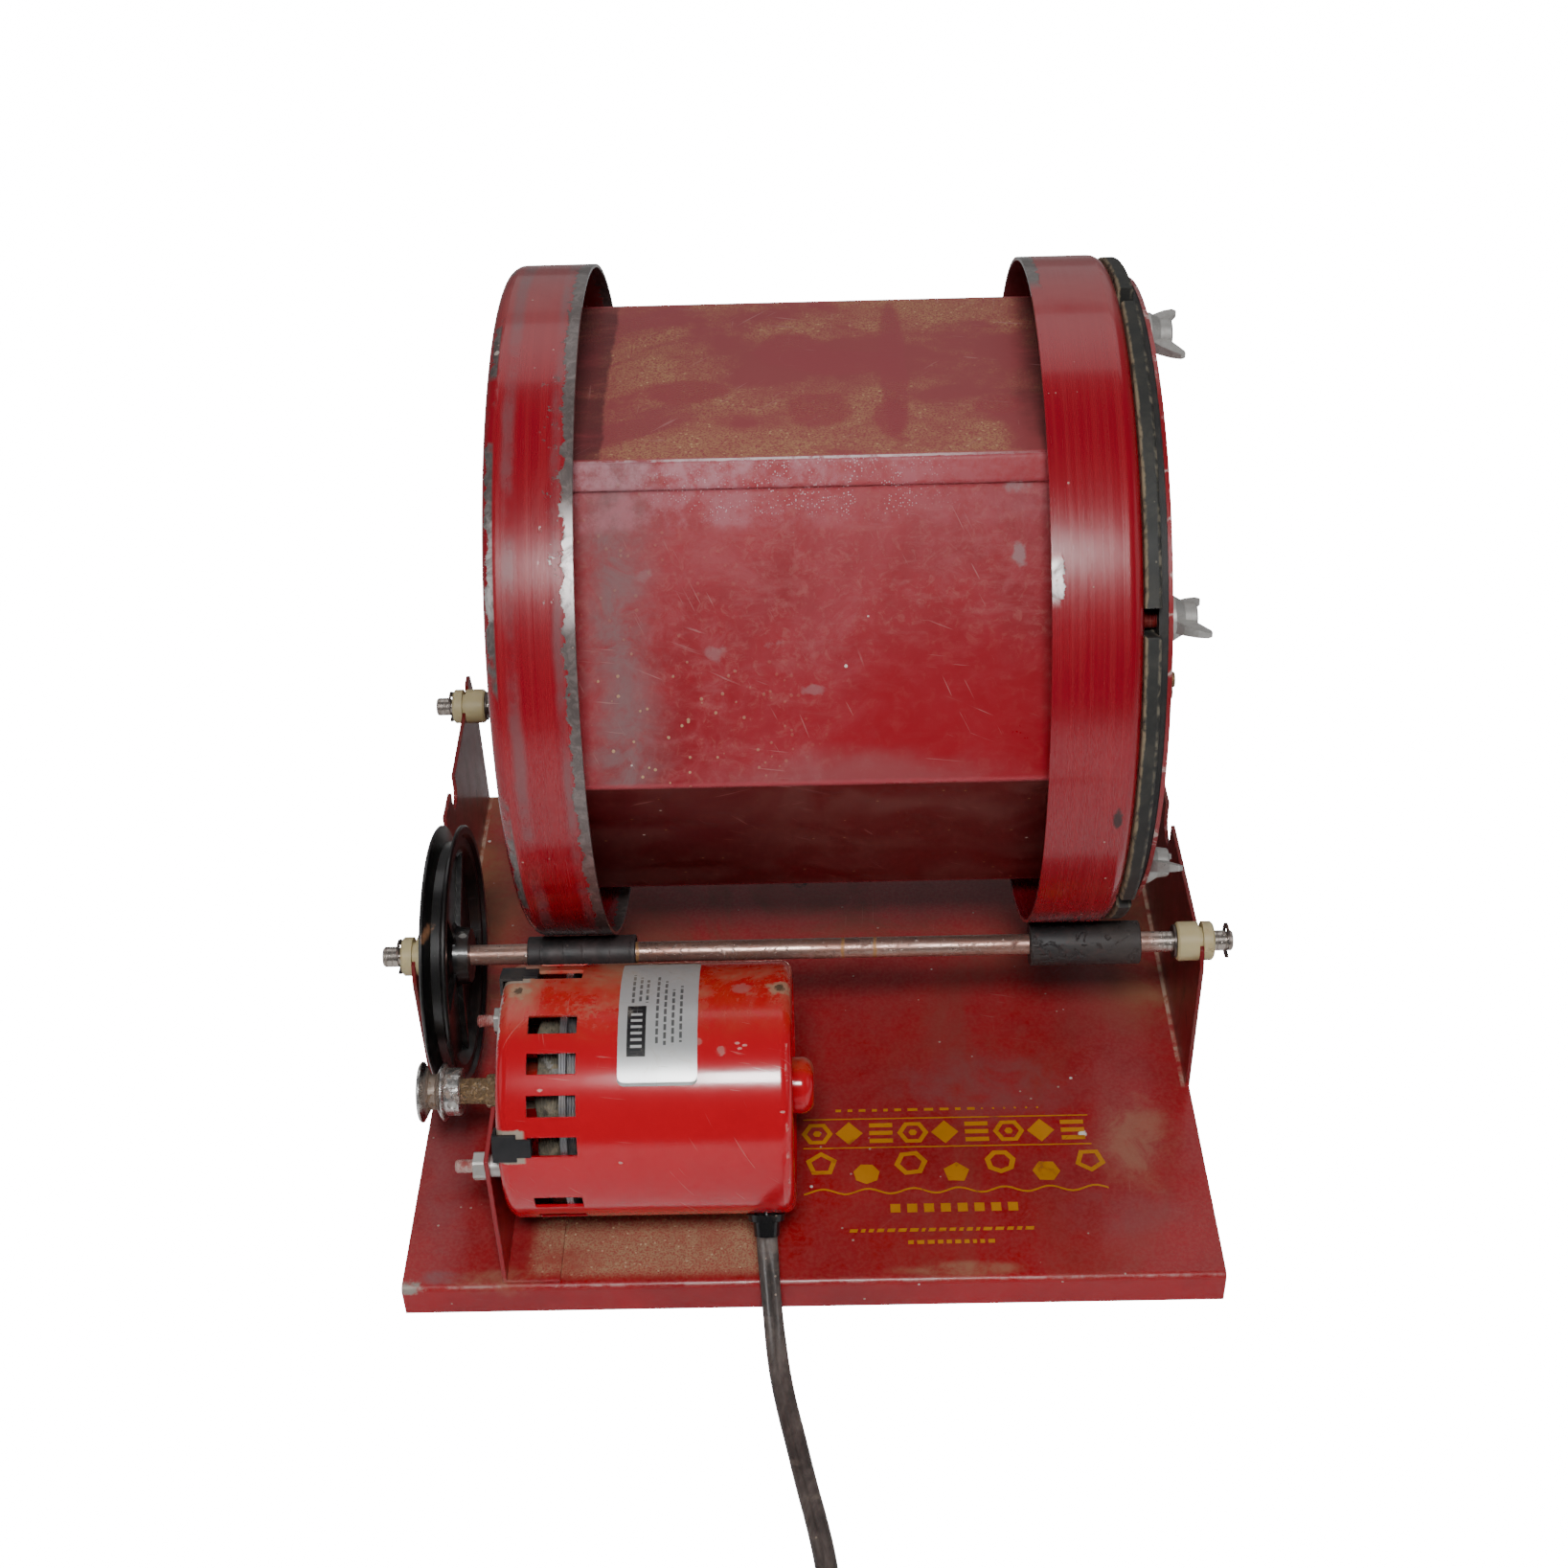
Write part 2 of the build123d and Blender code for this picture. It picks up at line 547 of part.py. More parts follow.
def liner_corner():
    """Circumradius of the liner, which fits inside the hexagonal body."""
    return (HEX_CORNER * cos(radians(30)) - HEX_WALL) / cos(radians(30))


def rubber_liner():
    """Moulded hexagonal cup with a thick flange that the lid is pressed on."""
    left = LEFT_PAN_X + PAN_WALL
    bore = liner_corner() - LINER_WALL / cos(radians(30))
    body = prism(left, FLANGE_X, liner_corner())
    flange = rod(FLANGE_X, GASKET_X, LINER_FLANGE_RADIUS, BARREL_Y, BARREL_Z)
    body += fillet(flange.edges().filter_by(GeomType.CIRCLE), 1.2)
    cavity = prism(left + LINER_WALL, GASKET_X + 1, bore)
    along = cavity.edges().filter_by(Axis.X)
    body -= fillet(along, 6.0)
    for angle in STUD_ANGLES:
        notch = rod(FLANGE_X - 0.01, GASKET_X + 1, 4.8, -STUD_CIRCLE)
        notch += block(FLANGE_X - 0.01, GASKET_X + 1, -STUD_CIRCLE - 20, -STUD_CIRCLE, -4.8, 4.8)
        body -= on_barrel(angle) * notch
    return body


def lid_studs():
    studs = []
    for angle in STUD_ANGLES:
        stud = rod(RIGHT_PAN_X - PAN_WALL - 1.8, STUD_END, STUD_RADIUS, -STUD_CIRCLE)
        stud = chamfer(stud.edges().filter_by(GeomType.CIRCLE), 0.7)
        stud += rod(RIGHT_PAN_X - PAN_WALL - 4.0, RIGHT_PAN_X - PAN_WALL, 5.6, -STUD_CIRCLE)
        studs.append(on_barrel(angle) * stud)
    return studs


# ---- lid -------------------------------------------------------------------

def stud_holes(x0, x1, radius):
    cut = rod(x0 - 1, x1 + 1, radius, -STUD_CIRCLE)
    return [on_barrel(angle) * cut for angle in STUD_ANGLES]


def lid_gasket():
    gasket = rod(GASKET_X, LID_X, LID_RADIUS - 0.6, BARREL_Y, BARREL_Z)
    for cut in stud_holes(GASKET_X, LID_X, STUD_RADIUS + 0.45):
        gasket -= cut
    return gasket


def lid_disc():
    """Flat steel lid with one stiffening bead and a hole for each stud."""
    back = LID_X + LID_THICK
    lid = turned([
        (LID_X, 0), (LID_X, LID_RADIUS), (back, LID_RADIUS), (back, 78), (back + 1.6, 75),
        (back + 1.6, 69), (back, 66), (back, 0),
    ])
    lid = Pos(0, BARREL_Y, BARREL_Z) * lid
    for cut in stud_holes(LID_X, back + 2, STUD_RADIUS + 0.45):
        lid -= cut
    return lid


def lid_rivet():
    """One round rivet head near the lid's edge."""
    head = rod(LID_X + LID_THICK, LID_X + LID_THICK + 2.1, 2.7, -RIVET_CIRCLE)
    head = fillet(head.edges().filter_by(GeomType.CIRCLE).sort_by(Axis.X)[-1], 0.5)
    return on_barrel(RIVET_ANGLE) * head


def wing_nut(index):
    """Cast wing nut: a conical hub with two ears that thin towards their tips."""
    hub = turned([
        (0, 0), (0, 7.7), (1.2, 7.7), (4.6, 5.7), (8.4, 5.2), (8.9, 4.7), (8.9, 0),
    ])
    ear = make_face(Polyline(
        (1.0, 4.0), (1.0, 7.2), (3.6, 9.8), (7.8, 12.8), (10.8, 14.2), (12.4, 13.6),
        (12.2, 11.6), (10.2, 9.0), (8.4, 6.6), (8.2, 3.6), close=True))
    ear = extrude(ear, 2.4, both=True)
    ear = fillet(ear.edges().filter_by(Axis.Z), 0.7)
    taper = make_face(Plane.XZ * Polyline(
        (0, -2.3), (0, 2.3), (6.0, 1.7), (13.0, 0.7), (13.0, -0.7), (6.0, -1.7), close=True))
    ear = ear & extrude(taper, 20, both=True)
    nut = hub + ear + Rot(180, 0, 0) * ear
    nut -= rod(-1, 20, STUD_RADIUS + RUNNING)
    turn = Rot(NUT_TURNS[index], 0, 0)
    return on_barrel(STUD_ANGLES[index]) * Pos(NUT_X, -STUD_CIRCLE, 0) * turn * nut


# ---- cord ------------------------------------------------------------------

def lead_route():
    """From the grommet's nose over the front lip and along the floor to the coil."""
    tip = on_motor(-48) * Pos(-16.4, -(MOTOR_RADIUS + 8.6), 0)
    nose = tip.position
    floor = CORD_RADIUS
    return [
        (nose.X, nose.Y, nose.Z), (-15.9, FRONT - 1.0, 24.0), (-15.0, FRONT - 10.5, 15.6),
        (-13.9, FRONT - 21.0, 8.6), (-12.4, FRONT - 33.0, 4.6), (-9.9, FRONT - 46.0, floor),
        (-6.6, FRONT - 61.0, floor), (-3.6, FRONT - 76.0, floor), (0.4, FRONT - 93.0, floor),
        (3.7, FRONT - 111.0, floor), (5.6, FRONT - 130.0, floor), (5.2, FRONT - 149.0, floor),
        (COIL_X - COIL_MEAN - 0.6, COIL_Y + 14.0, floor),
        (COIL_X - COIL_MEAN + 1.0, COIL_Y, floor),
    ]


def tail_route():
    """From the coil to the plug, which lies beside it."""
    floor = CORD_RADIUS
    return [
        (COIL_X - 8.0, COIL_Y - 44.4, floor), (COIL_X + 8.0, COIL_Y - 46.0, floor),
        (COIL_X + 24.0, COIL_Y - 49.4, floor + 0.4), (COIL_X + 40.0, COIL_Y - 54.8, floor + 1.6),
        plug_base(),
    ]


def plug_base():
    return (COIL_X + 55.0, COIL_Y - 60.4, 6.5)


def tube_along(points, radius):
    """A round tube whose corners are arcs as large as their runs allow."""
    spots = [Vector(*p) for p in points]
    radii = []
    for before, corner, after in zip(spots, spots[1:], spots[2:]):
        turn = radians((corner - before).get_angle(after - corner))
        run = min((corner - before).length, (after - corner).length)
        radii.append(0.45 * run / tan(turn / 2))
    path = FilletPolyline(*spots, radius=radii)
    start = Plane(origin=spots[0], z_dir=spots[1] - spots[0])
    tube = sweep(start * Circle(radius), path=path)
    share = tube.volume / (pi * radius**2 * path.length)
    print("cord radii", [round(r, 1) for r in radii], "volume over section times length", round(share, 3))
    return tube


def cord_coil():
    """The coil's outer shape: a low ring with rounded edges."""
    outer = Cylinder(COIL_MEAN + COIL_HALF, COIL_HEIGHT)
    coil = outer - Cylinder(COIL_MEAN - COIL_HALF, COIL_HEIGHT + 2)
    coil = fillet(coil.edges().filter_by(GeomType.CIRCLE), 3.5)
    return Pos(COIL_X, COIL_Y, COIL_HEIGHT / 2) * coil


def plug_place():
    x, y, z = plug_base()
    return Pos(x, y, z) * Rot(0, 0, PLUG_HEADING)


def plug_body():
    """Two-pin moulded plug: a round strain relief that opens into a flat body."""
    neck = Plane.YZ * Circle(4.2)
    middle = Plane.YZ.offset(14) * RectangleRounded(15.0, 9.0, 3.5)
    front = Plane.YZ.offset(32) * RectangleRounded(24.0, 12.6, 4.5)
    body = loft([neck, middle, front])
    return plug_place() * body


def plug_blades():
    blades = []
    for side in (-1, 1):
        blade = Pos(32 + 8.5, side * 6.35, 0) * Box(17.0, 1.5, 6.3)
        blades.append(plug_place() * blade)
    return blades


# ---- write every node ------------------------------------------------------

def nodes():
    made = {
        "base_frame": base_frame(),
        "motor_bracket": motor_bracket(),
        "bracket_screws": bracket_screws(),
        "motor_shell": motor_shell(),
        "motor_end_bell_left": end_bell_left(),
        "motor_end_bell_right": end_bell_right(),
        "motor_end_clips": end_clips(),
        "motor_stator": motor_stator(),
        "motor_windings": motor_windings(),
        "motor_bearing_left": motor_bearing(-109.0, -99.0),
        "motor_bearing_right": motor_bearing(-17.0, -7.0),
        "motor_through_bolts": through_bolts(),
        "motor_nuts": motor_nuts(),
        "motor_nameplate": motor_nameplate(),
        "cord_grommet": cord_grommet(),
        "power_cord": tube_along(lead_route(), CORD_RADIUS),
        "cord_coil": cord_coil(),
        "cord_tail": tube_along(tail_route(), CORD_RADIUS),
        "plug_body": plug_body(),
        "plug_blades": plug_blades(),
        "drive_pulley": drive_pulley(),
        "drive_pulley_screw": set_screw(PULLEY_SCREW_X, DRIVE_Y, SHAFT_Z, PULLEY_SCREW_TURN,
                                        1.9, SHAFT_RADIUS, 9.6),
        "motor_shaft": motor_shaft(),
        "rotor_core": rotor_core(),
        "cooling_fan": cooling_fan(),
        "motor_pulley": motor_pulley(),
        "motor_pulley_screw": set_screw(MOTOR_PULLEY_RIGHT + 2.6, MOTOR_Y, MOTOR_Z,
                                        MOTOR_SCREW_TURN, 1.8, MOTOR_SHAFT_RADIUS, 7.8),
        "barrel_tube": barrel_tube(),
        "closed_end_pan": closed_end_pan(),
        "open_end_pan": open_end_pan(),
        "rubber_liner": rubber_liner(),
        "lid_studs": lid_studs(),
        "lid_disc": lid_disc(),
        "lid_gasket": lid_gasket(),
        "lid_rivet": lid_rivet(),
    }
    for name, y in (("drive", DRIVE_Y), ("idler", IDLER_Y)):
        made[f"{name}_shaft"] = roller_shaft(y)
        made[f"{name}_sleeve_left"] = sleeve(LEFT_SLEEVE, LEFT_SLEEVE_RADIUS, y)
        made[f"{name}_sleeve_right"] = sleeve(RIGHT_SLEEVE, RIGHT_SLEEVE_RADIUS, y)
        made[f"{name}_clips"] = clips(y)
        made[f"{name}_washers"] = thrust_washers(y)
        made[f"{name}_bushing_left"] = bushing(-1, y)
        made[f"{name}_bushing_right"] = bushing(1, y)
    for index in range(6):
        made[f"wing_nut_{index + 1}"] = wing_nut(index)
    return made


def main():
    os.makedirs("parts", exist_ok=True)
    for name, shape in nodes().items():
        solids = shape if isinstance(shape, list) else [shape]
        export_step(Compound(children=[s for one in solids for s in one.solids()]),
                    f"parts/{name}.step")


main()
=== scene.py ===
"""Rotary rock tumbler: camera, light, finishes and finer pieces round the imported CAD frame."""

import json
import random
from math import copysign, cos, exp, pi, radians, sin, sqrt

import bmesh
import bpy
from mathutils import Matrix, Vector


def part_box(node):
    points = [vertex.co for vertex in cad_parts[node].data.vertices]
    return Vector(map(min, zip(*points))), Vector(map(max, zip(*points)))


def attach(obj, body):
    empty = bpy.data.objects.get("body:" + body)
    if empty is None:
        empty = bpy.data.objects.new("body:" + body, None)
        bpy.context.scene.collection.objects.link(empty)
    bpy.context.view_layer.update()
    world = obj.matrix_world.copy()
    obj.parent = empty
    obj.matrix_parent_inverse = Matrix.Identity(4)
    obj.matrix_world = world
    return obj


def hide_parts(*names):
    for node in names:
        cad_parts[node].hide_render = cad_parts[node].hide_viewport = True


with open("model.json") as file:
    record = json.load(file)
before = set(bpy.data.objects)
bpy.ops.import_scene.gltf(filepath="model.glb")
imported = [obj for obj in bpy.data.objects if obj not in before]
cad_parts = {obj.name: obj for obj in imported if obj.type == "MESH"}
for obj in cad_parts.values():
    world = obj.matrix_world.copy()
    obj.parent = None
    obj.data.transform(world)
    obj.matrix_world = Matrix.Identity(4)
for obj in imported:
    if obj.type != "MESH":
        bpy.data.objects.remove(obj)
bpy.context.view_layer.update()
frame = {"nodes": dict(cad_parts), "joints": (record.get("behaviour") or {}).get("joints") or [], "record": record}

# ---- places, mostly worked out from the imported frame, and a few given angles and lengths ----

MM = 0.001


def mm(*values):
    return tuple(value * MM for value in values)


def pivot(joint):
    return Vector(next(j["pos_m"] for j in frame["joints"] if j["name"] == joint))


def half_height(node):
    low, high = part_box(node)
    return (high[2] - low[2]) / 2


BARREL = pivot("barrel_spin")
DRIVE = pivot("drive_spin")
IDLER = pivot("idler_spin")
MOTOR = pivot("motor_spin")
FRONT_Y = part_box("base_frame")[0][1]
MOTOR_R = half_height("motor_shell")
PAN_R = half_height("closed_end_pan")
SEAM_ANGLE = radians(58.5)      # the hexagon's corner with the seam, counted up from the front
LABEL_TOP = radians(122)
LABEL_LEFT = -66.2 * MM


def from_lip(x, y, z):
    """A point in millimetres, with y counted from the front lip, as a row-frame point."""
    return Vector((x * MM, FRONT_Y + y * MM, z * MM))


def on_drum(axis, x, radius, angle):
    """A point round a line along X through axis, with the angle counted up from the front."""
    return Vector((x, axis.y - radius * cos(angle), axis.z + radius * sin(angle)))


def linked(name, data):
    """A new object of the scene with this data."""
    thing = bpy.data.objects.new(name, data)
    bpy.context.collection.objects.link(thing)
    return thing


# ---- camera ----

def make_camera():
    yaw, pitch, roll = 0.021868, 0.666563, -0.034841
    forward = Vector((-sin(yaw) * cos(pitch), cos(yaw) * cos(pitch), -sin(pitch)))
    level = Vector((cos(yaw), sin(yaw), 0))
    upright = level.cross(forward)
    right = cos(roll) * level + sin(roll) * upright
    up = cos(roll) * upright - sin(roll) * level
    data = bpy.data.cameras.new("camera")
    data.sensor_width = 36.0
    data.lens = 49.47
    data.clip_start, data.clip_end = 0.01, 50.0
    camera = linked("camera", data)
    turn = Matrix((right, up, -forward)).transposed().to_4x4()
    camera.matrix_world = Matrix.Translation(from_lip(6.98, -511.0, 650.2)) @ turn
    bpy.context.scene.camera = camera


make_camera()


# ---- node helpers ----

class Shader:
    """A material whose nodes are added one call at a time. Inputs are sockets or plain values."""

    def __init__(self, name):
        self.material = bpy.data.materials.new(name)
        self.material.use_nodes = True
        self.tree = self.material.node_tree
        self.bsdf = self.tree.nodes["Principled BSDF"]
        self.place = self.add("TexCoord").outputs["Object"]

    def add(self, kind, inputs=None, **settings):
        node = self.tree.nodes.new("ShaderNode" + kind)
        for key, value in settings.items():
            setattr(node, key, value)
        for key, value in (inputs or {}).items():
            self.feed(node.inputs[key], value)
        return node

    def feed(self, socket, value):
        if isinstance(value, bpy.types.NodeSocket):
            self.tree.links.new(value, socket)
        elif socket.type == "RGBA" and len(value) == 3:
            socket.default_value = (*value, 1.0)
        else:
            socket.default_value = value

    def set(self, **values):
        names = {"color": "Base Color", "rough": "Roughness", "metal": "Metallic",
                 "normal": "Normal", "coat": "Coat Weight", "coat_rough": "Coat Roughness",
                 "specular": "Specular IOR Level"}
        for key, value in values.items():
            self.feed(self.bsdf.inputs[names[key]], value)

    def math(self, operation, a, b=0.0, clamp=False):
        return self.add("Math", {0: a, 1: b}, operation=operation, use_clamp=clamp).outputs[0]

    def plus(self, a, b):
        return self.math("ADD", a, b)

    def minus(self, a, b):
        return self.math("SUBTRACT", a, b)

    def plain(self, value):
        """The value without its sign."""
        return self.math("ABSOLUTE", value)

    def apart(self, a, b):
        return self.plain(self.minus(a, b))

    def ramp(self, value, low, high, start=0.0, end=1.0):
        """start below low, end above high, smooth between."""
        inputs = {"Value": value, "From Min": low, "From Max": high, "To Min": start, "To Max": end}
        return self.add("MapRange", inputs, interpolation_type="SMOOTHSTEP").outputs["Result"]

    def fall(self, value, low, high):
        """1 below low, 0 above high."""
        return self.ramp(value, low, high, 1.0, 0.0)

    def mix(self, amount, a, b):
        """From colour a to colour b."""
        return self.add("Mix", {0: amount, 6: a, 7: b}, data_type="RGBA").outputs[2]

    def blend(self, amount, a, b):
        """From value a to value b."""
        return self.add("Mix", {0: amount, 2: a, 3: b}, data_type="FLOAT").outputs[0]

    def stretch(self, x, y, z, move=(0, 0, 0), source=None):
        """Coordinates in metres scaled per axis."""
        inputs = {"Vector": source or self.place, "Scale": (x, y, z), "Location": move}
        return self.add("Mapping", inputs).outputs[0]

    def turned(self, angles):
        return self.add("Mapping", {"Vector": self.place, "Rotation": angles}).outputs[0]

    def noise(self, scale, detail=4.0, rough=0.55, warp=0.0, source=None):
        inputs = {"Vector": source or self.place, "Scale": scale, "Detail": detail,
                  "Roughness": rough, "Distortion": warp}
        return self.add("TexNoise", inputs).outputs["Fac"]

    def wave(self, size, *noise):
        """Noise that swings by half of size to both sides of zero."""
        return self.times(self.minus(self.noise(*noise), 0.5), size)

    def split(self):
        return tuple(self.add("SeparateXYZ", {0: self.place}).outputs)

    def join(self, x, y, z):
        return self.add("CombineXYZ", {0: x, 1: y, 2: z}).outputs[0]

    def bump(self, height, distance, strength, normal):
        inputs = {"Height": height, "Distance": distance, "Strength": strength}
        if normal is not None:
            inputs["Normal"] = normal
        return self.add("Bump", inputs).outputs[0]

    def round_about(self, axis):
        """(x, angle up from the front, radius) about a line along X through axis."""
        x, y, z = self.split()
        y = self.minus(axis.y, y)
        z = self.minus(z, axis.z)
        angle = self.math("ARCTAN2", z, y)
        radius = self.math("SQRT", self.plus(self.times(y, y), self.times(z, z)))
        return x, angle, radius

    def times(self, *values):
        product = values[0]
        for value in values[1:]:
            product = self.math("MULTIPLY", product, value)
        return product

    def between(self, value, low, high, soft):
        """1 between low and high, 0 outside, soft at both ends."""
        return self.times(self.ramp(value, low - soft, low + soft),
                          self.fall(value, high - soft, high + soft))

    def spot(self, centre, radius, soft=0.4, jag=0.3, scale=120.0):
        """A blotch with a ragged outline. radius is one length or three."""
        radii = (radius,) * 3 if isinstance(radius, float) else radius
        offset = self.add("VectorMath", {0: self.place, 1: tuple(centre)},
                          operation="SUBTRACT").outputs[0]
        offset = self.add("VectorMath", {0: offset, 1: tuple(1 / r for r in radii)},
                          operation="MULTIPLY").outputs[0]
        reach = self.add("VectorMath", {0: offset}, operation="LENGTH").outputs["Value"]
        ragged = self.plus(reach, self.wave(jag * 2, scale, 4.0, 0.6))
        return self.fall(ragged, 1.0 - soft, 1.0 + soft)

    def specks(self, scale, size, share, source=None):
        """Small dots: one in each cell of a share of the cells."""
        node = self.add("TexVoronoi", {"Vector": source or self.place, "Scale": scale})
        pick = self.add("SeparateColor", {0: node.outputs["Color"]}).outputs[0]
        return self.times(self.fall(node.outputs["Distance"], size, size * 1.5),
                          self.math("GREATER_THAN", pick, 1.0 - share))

    def scratches(self, scale, density):
        """Thin short marks in many directions, only here and there."""
        marks = None
        for angles in ((0.3, 0.5, 0.2), (1.1, -0.4, 0.9), (-0.7, 1.3, 2.0), (0.2, 0.9, -1.2)):
            turned = self.turned(angles)
            where = self.ramp(self.noise(scale * 2.2, 3.0, 0.6, 0.0, turned), 0.5, 0.6)
            drawn_out = self.stretch(scale * 150, scale * 5, scale * 5, source=turned)
            line = self.noise(1.0, 2.0, 0.4, 0.2, drawn_out)
            line = self.times(self.ramp(line, 0.72 - density, 0.76 - density), where)
            marks = line if marks is None else self.math("MAXIMUM", marks, line)
        return marks


class Finish(Shader):
    """A surface built up in layers, from the clean material to the dirt on top."""

    def __init__(self, name, color, rough=0.3, metal=0.0, tone=0.25, grain=520.0):
        super().__init__(name)
        deep = tuple(c * (1 - tone) for c in color)
        self.color = self.mix(self.ramp(self.noise(17, 6, 0.62), 0.3, 0.7), deep, color)
        self.rough = self.blend(self.noise(48, 5, 0.6), rough * 0.75, rough * 1.3)
        self.metal = metal
        self.height = self.times(self.noise(grain, 2, 0.5), 0.12)

    def over(self, mask, color, rough=None, metal=None, height=0.0):
        """One more layer. mask is a socket, or the factors of one."""
        if isinstance(mask, tuple):
            mask = self.times(*mask)
        self.color = self.mix(mask, self.color, color)
        if rough is not None:
            self.rough = self.blend(mask, self.rough, rough)
        if metal is not None:
            self.metal = self.blend(mask, self.metal, metal)
        if height:
            self.height = self.plus(self.height, self.times(mask, height))

    def cloud(self, low, high, scale=16.0, detail=8.0, rough=0.66, warp=0.7, source=None):
        """Soft patches. Noise under low is left out and noise over high counts in full."""
        return self.ramp(self.noise(scale, detail, rough, warp, source), low, high)

    def streaks(self, low, high, scales, detail, rough, warp, source=None):
        """A cloud that is drawn out along the axes with the smaller scales."""
        return self.cloud(low, high, 1.0, detail, rough, warp, self.stretch(*scales, source=source))

    def patches(self, *layers, on=1.0):
        """Layers of dirt. Each has the cloud's values, a weight and what over() takes."""
        for cloud, weight, *coat in layers:
            self.over((self.cloud(*cloud), on, weight), *coat)

    def grit(self, low, high, scale=950.0):
        """Fine grains."""
        return self.ramp(self.noise(scale, 3, 0.65), low, high)

    def ripple(self, x, pitch, depth):
        """Threads or sheets that follow one another along x."""
        wave = self.math("SINE", self.times(x, 2 * pi / pitch))
        self.height = self.plus(self.height, self.times(wave, depth))

    def done(self, depth=0.0004, strength=0.6, edge=0.0, **extra):
        """edge is the radius that sharp corners seem to have."""
        rounded = None
        if edge:
            rounded = self.add("Bevel", {"Radius": edge}, samples=4).outputs[0]
        self.set(color=self.color, rough=self.rough, metal=self.metal,
                 normal=self.bump(self.height, depth, strength, rounded), **extra)
        return self.material


# ---- floor and light ----

def make_stage():
    bpy.ops.mesh.primitive_plane_add(size=60, location=(0, 0, 0))
    floor = bpy.context.object
    floor.name = "floor"
    sh = Finish("floor", (0.93, 0.93, 0.93), 0.85, tone=0.01, grain=60.0)
    sh.bsdf.inputs["Emission Color"].default_value = (1, 1, 1, 1)
    seen = sh.add("LightPath").outputs["Is Camera Ray"]
    sh.feed(sh.bsdf.inputs["Emission Strength"], sh.times(seen, 16.0))
    floor.data.materials.append(sh.done(0.0001, 0.1))
    world = bpy.data.worlds.new("world")
    bpy.context.scene.world = world
    world.use_nodes = True
    world.node_tree.nodes["Background"].inputs[0].default_value = (1, 1, 1, 1)
    world.node_tree.nodes["Background"].inputs[1].default_value = 0.11


def area_light(name, place, target, size, power):
    data = bpy.data.lights.new(name, "AREA")
    data.shape = "RECTANGLE"
    data.size, data.size_y = size
    data.energy = power
    lamp = linked(name, data)
    lamp.location = place
    lamp.rotation_euler = (Vector(target) - Vector(place)).to_track_quat("-Z", "Y").to_euler()


def make_lights():
    area_light("key", (0.01, -0.83, 1.05), (0, 0, 0.12), (0.24, 0.18), 11.0)
    area_light("overhead", (0.0, 1.1, 1.9), (0, 0, 0.1), (2.0, 1.0), 6)
    area_light("left", (-1.8, -0.6, 0.9), (0, 0, 0.1), (1.0, 1.0), 2)
    area_light("right", (1.8, -0.5, 0.9), (0, 0, 0.1), (1.0, 1.0), 1.5)
    area_light("back", (0.3, 2.0, 1.0), (0, 0, 0.1), (1.6, 1.2), 2.2)


make_stage()
make_lights()


# ---- finishes ----

BEIGE = (0.4, 0.25, 0.145)
MAUVE = (0.25, 0.08, 0.078)
GREY_FILM = (0.2, 0.135, 0.14)
PALE = (0.72, 0.66, 0.62)
BARE = (0.13, 0.105, 0.1)
RUST = (0.16, 0.055, 0.018)
SOOT = (0.012, 0.008, 0.008)


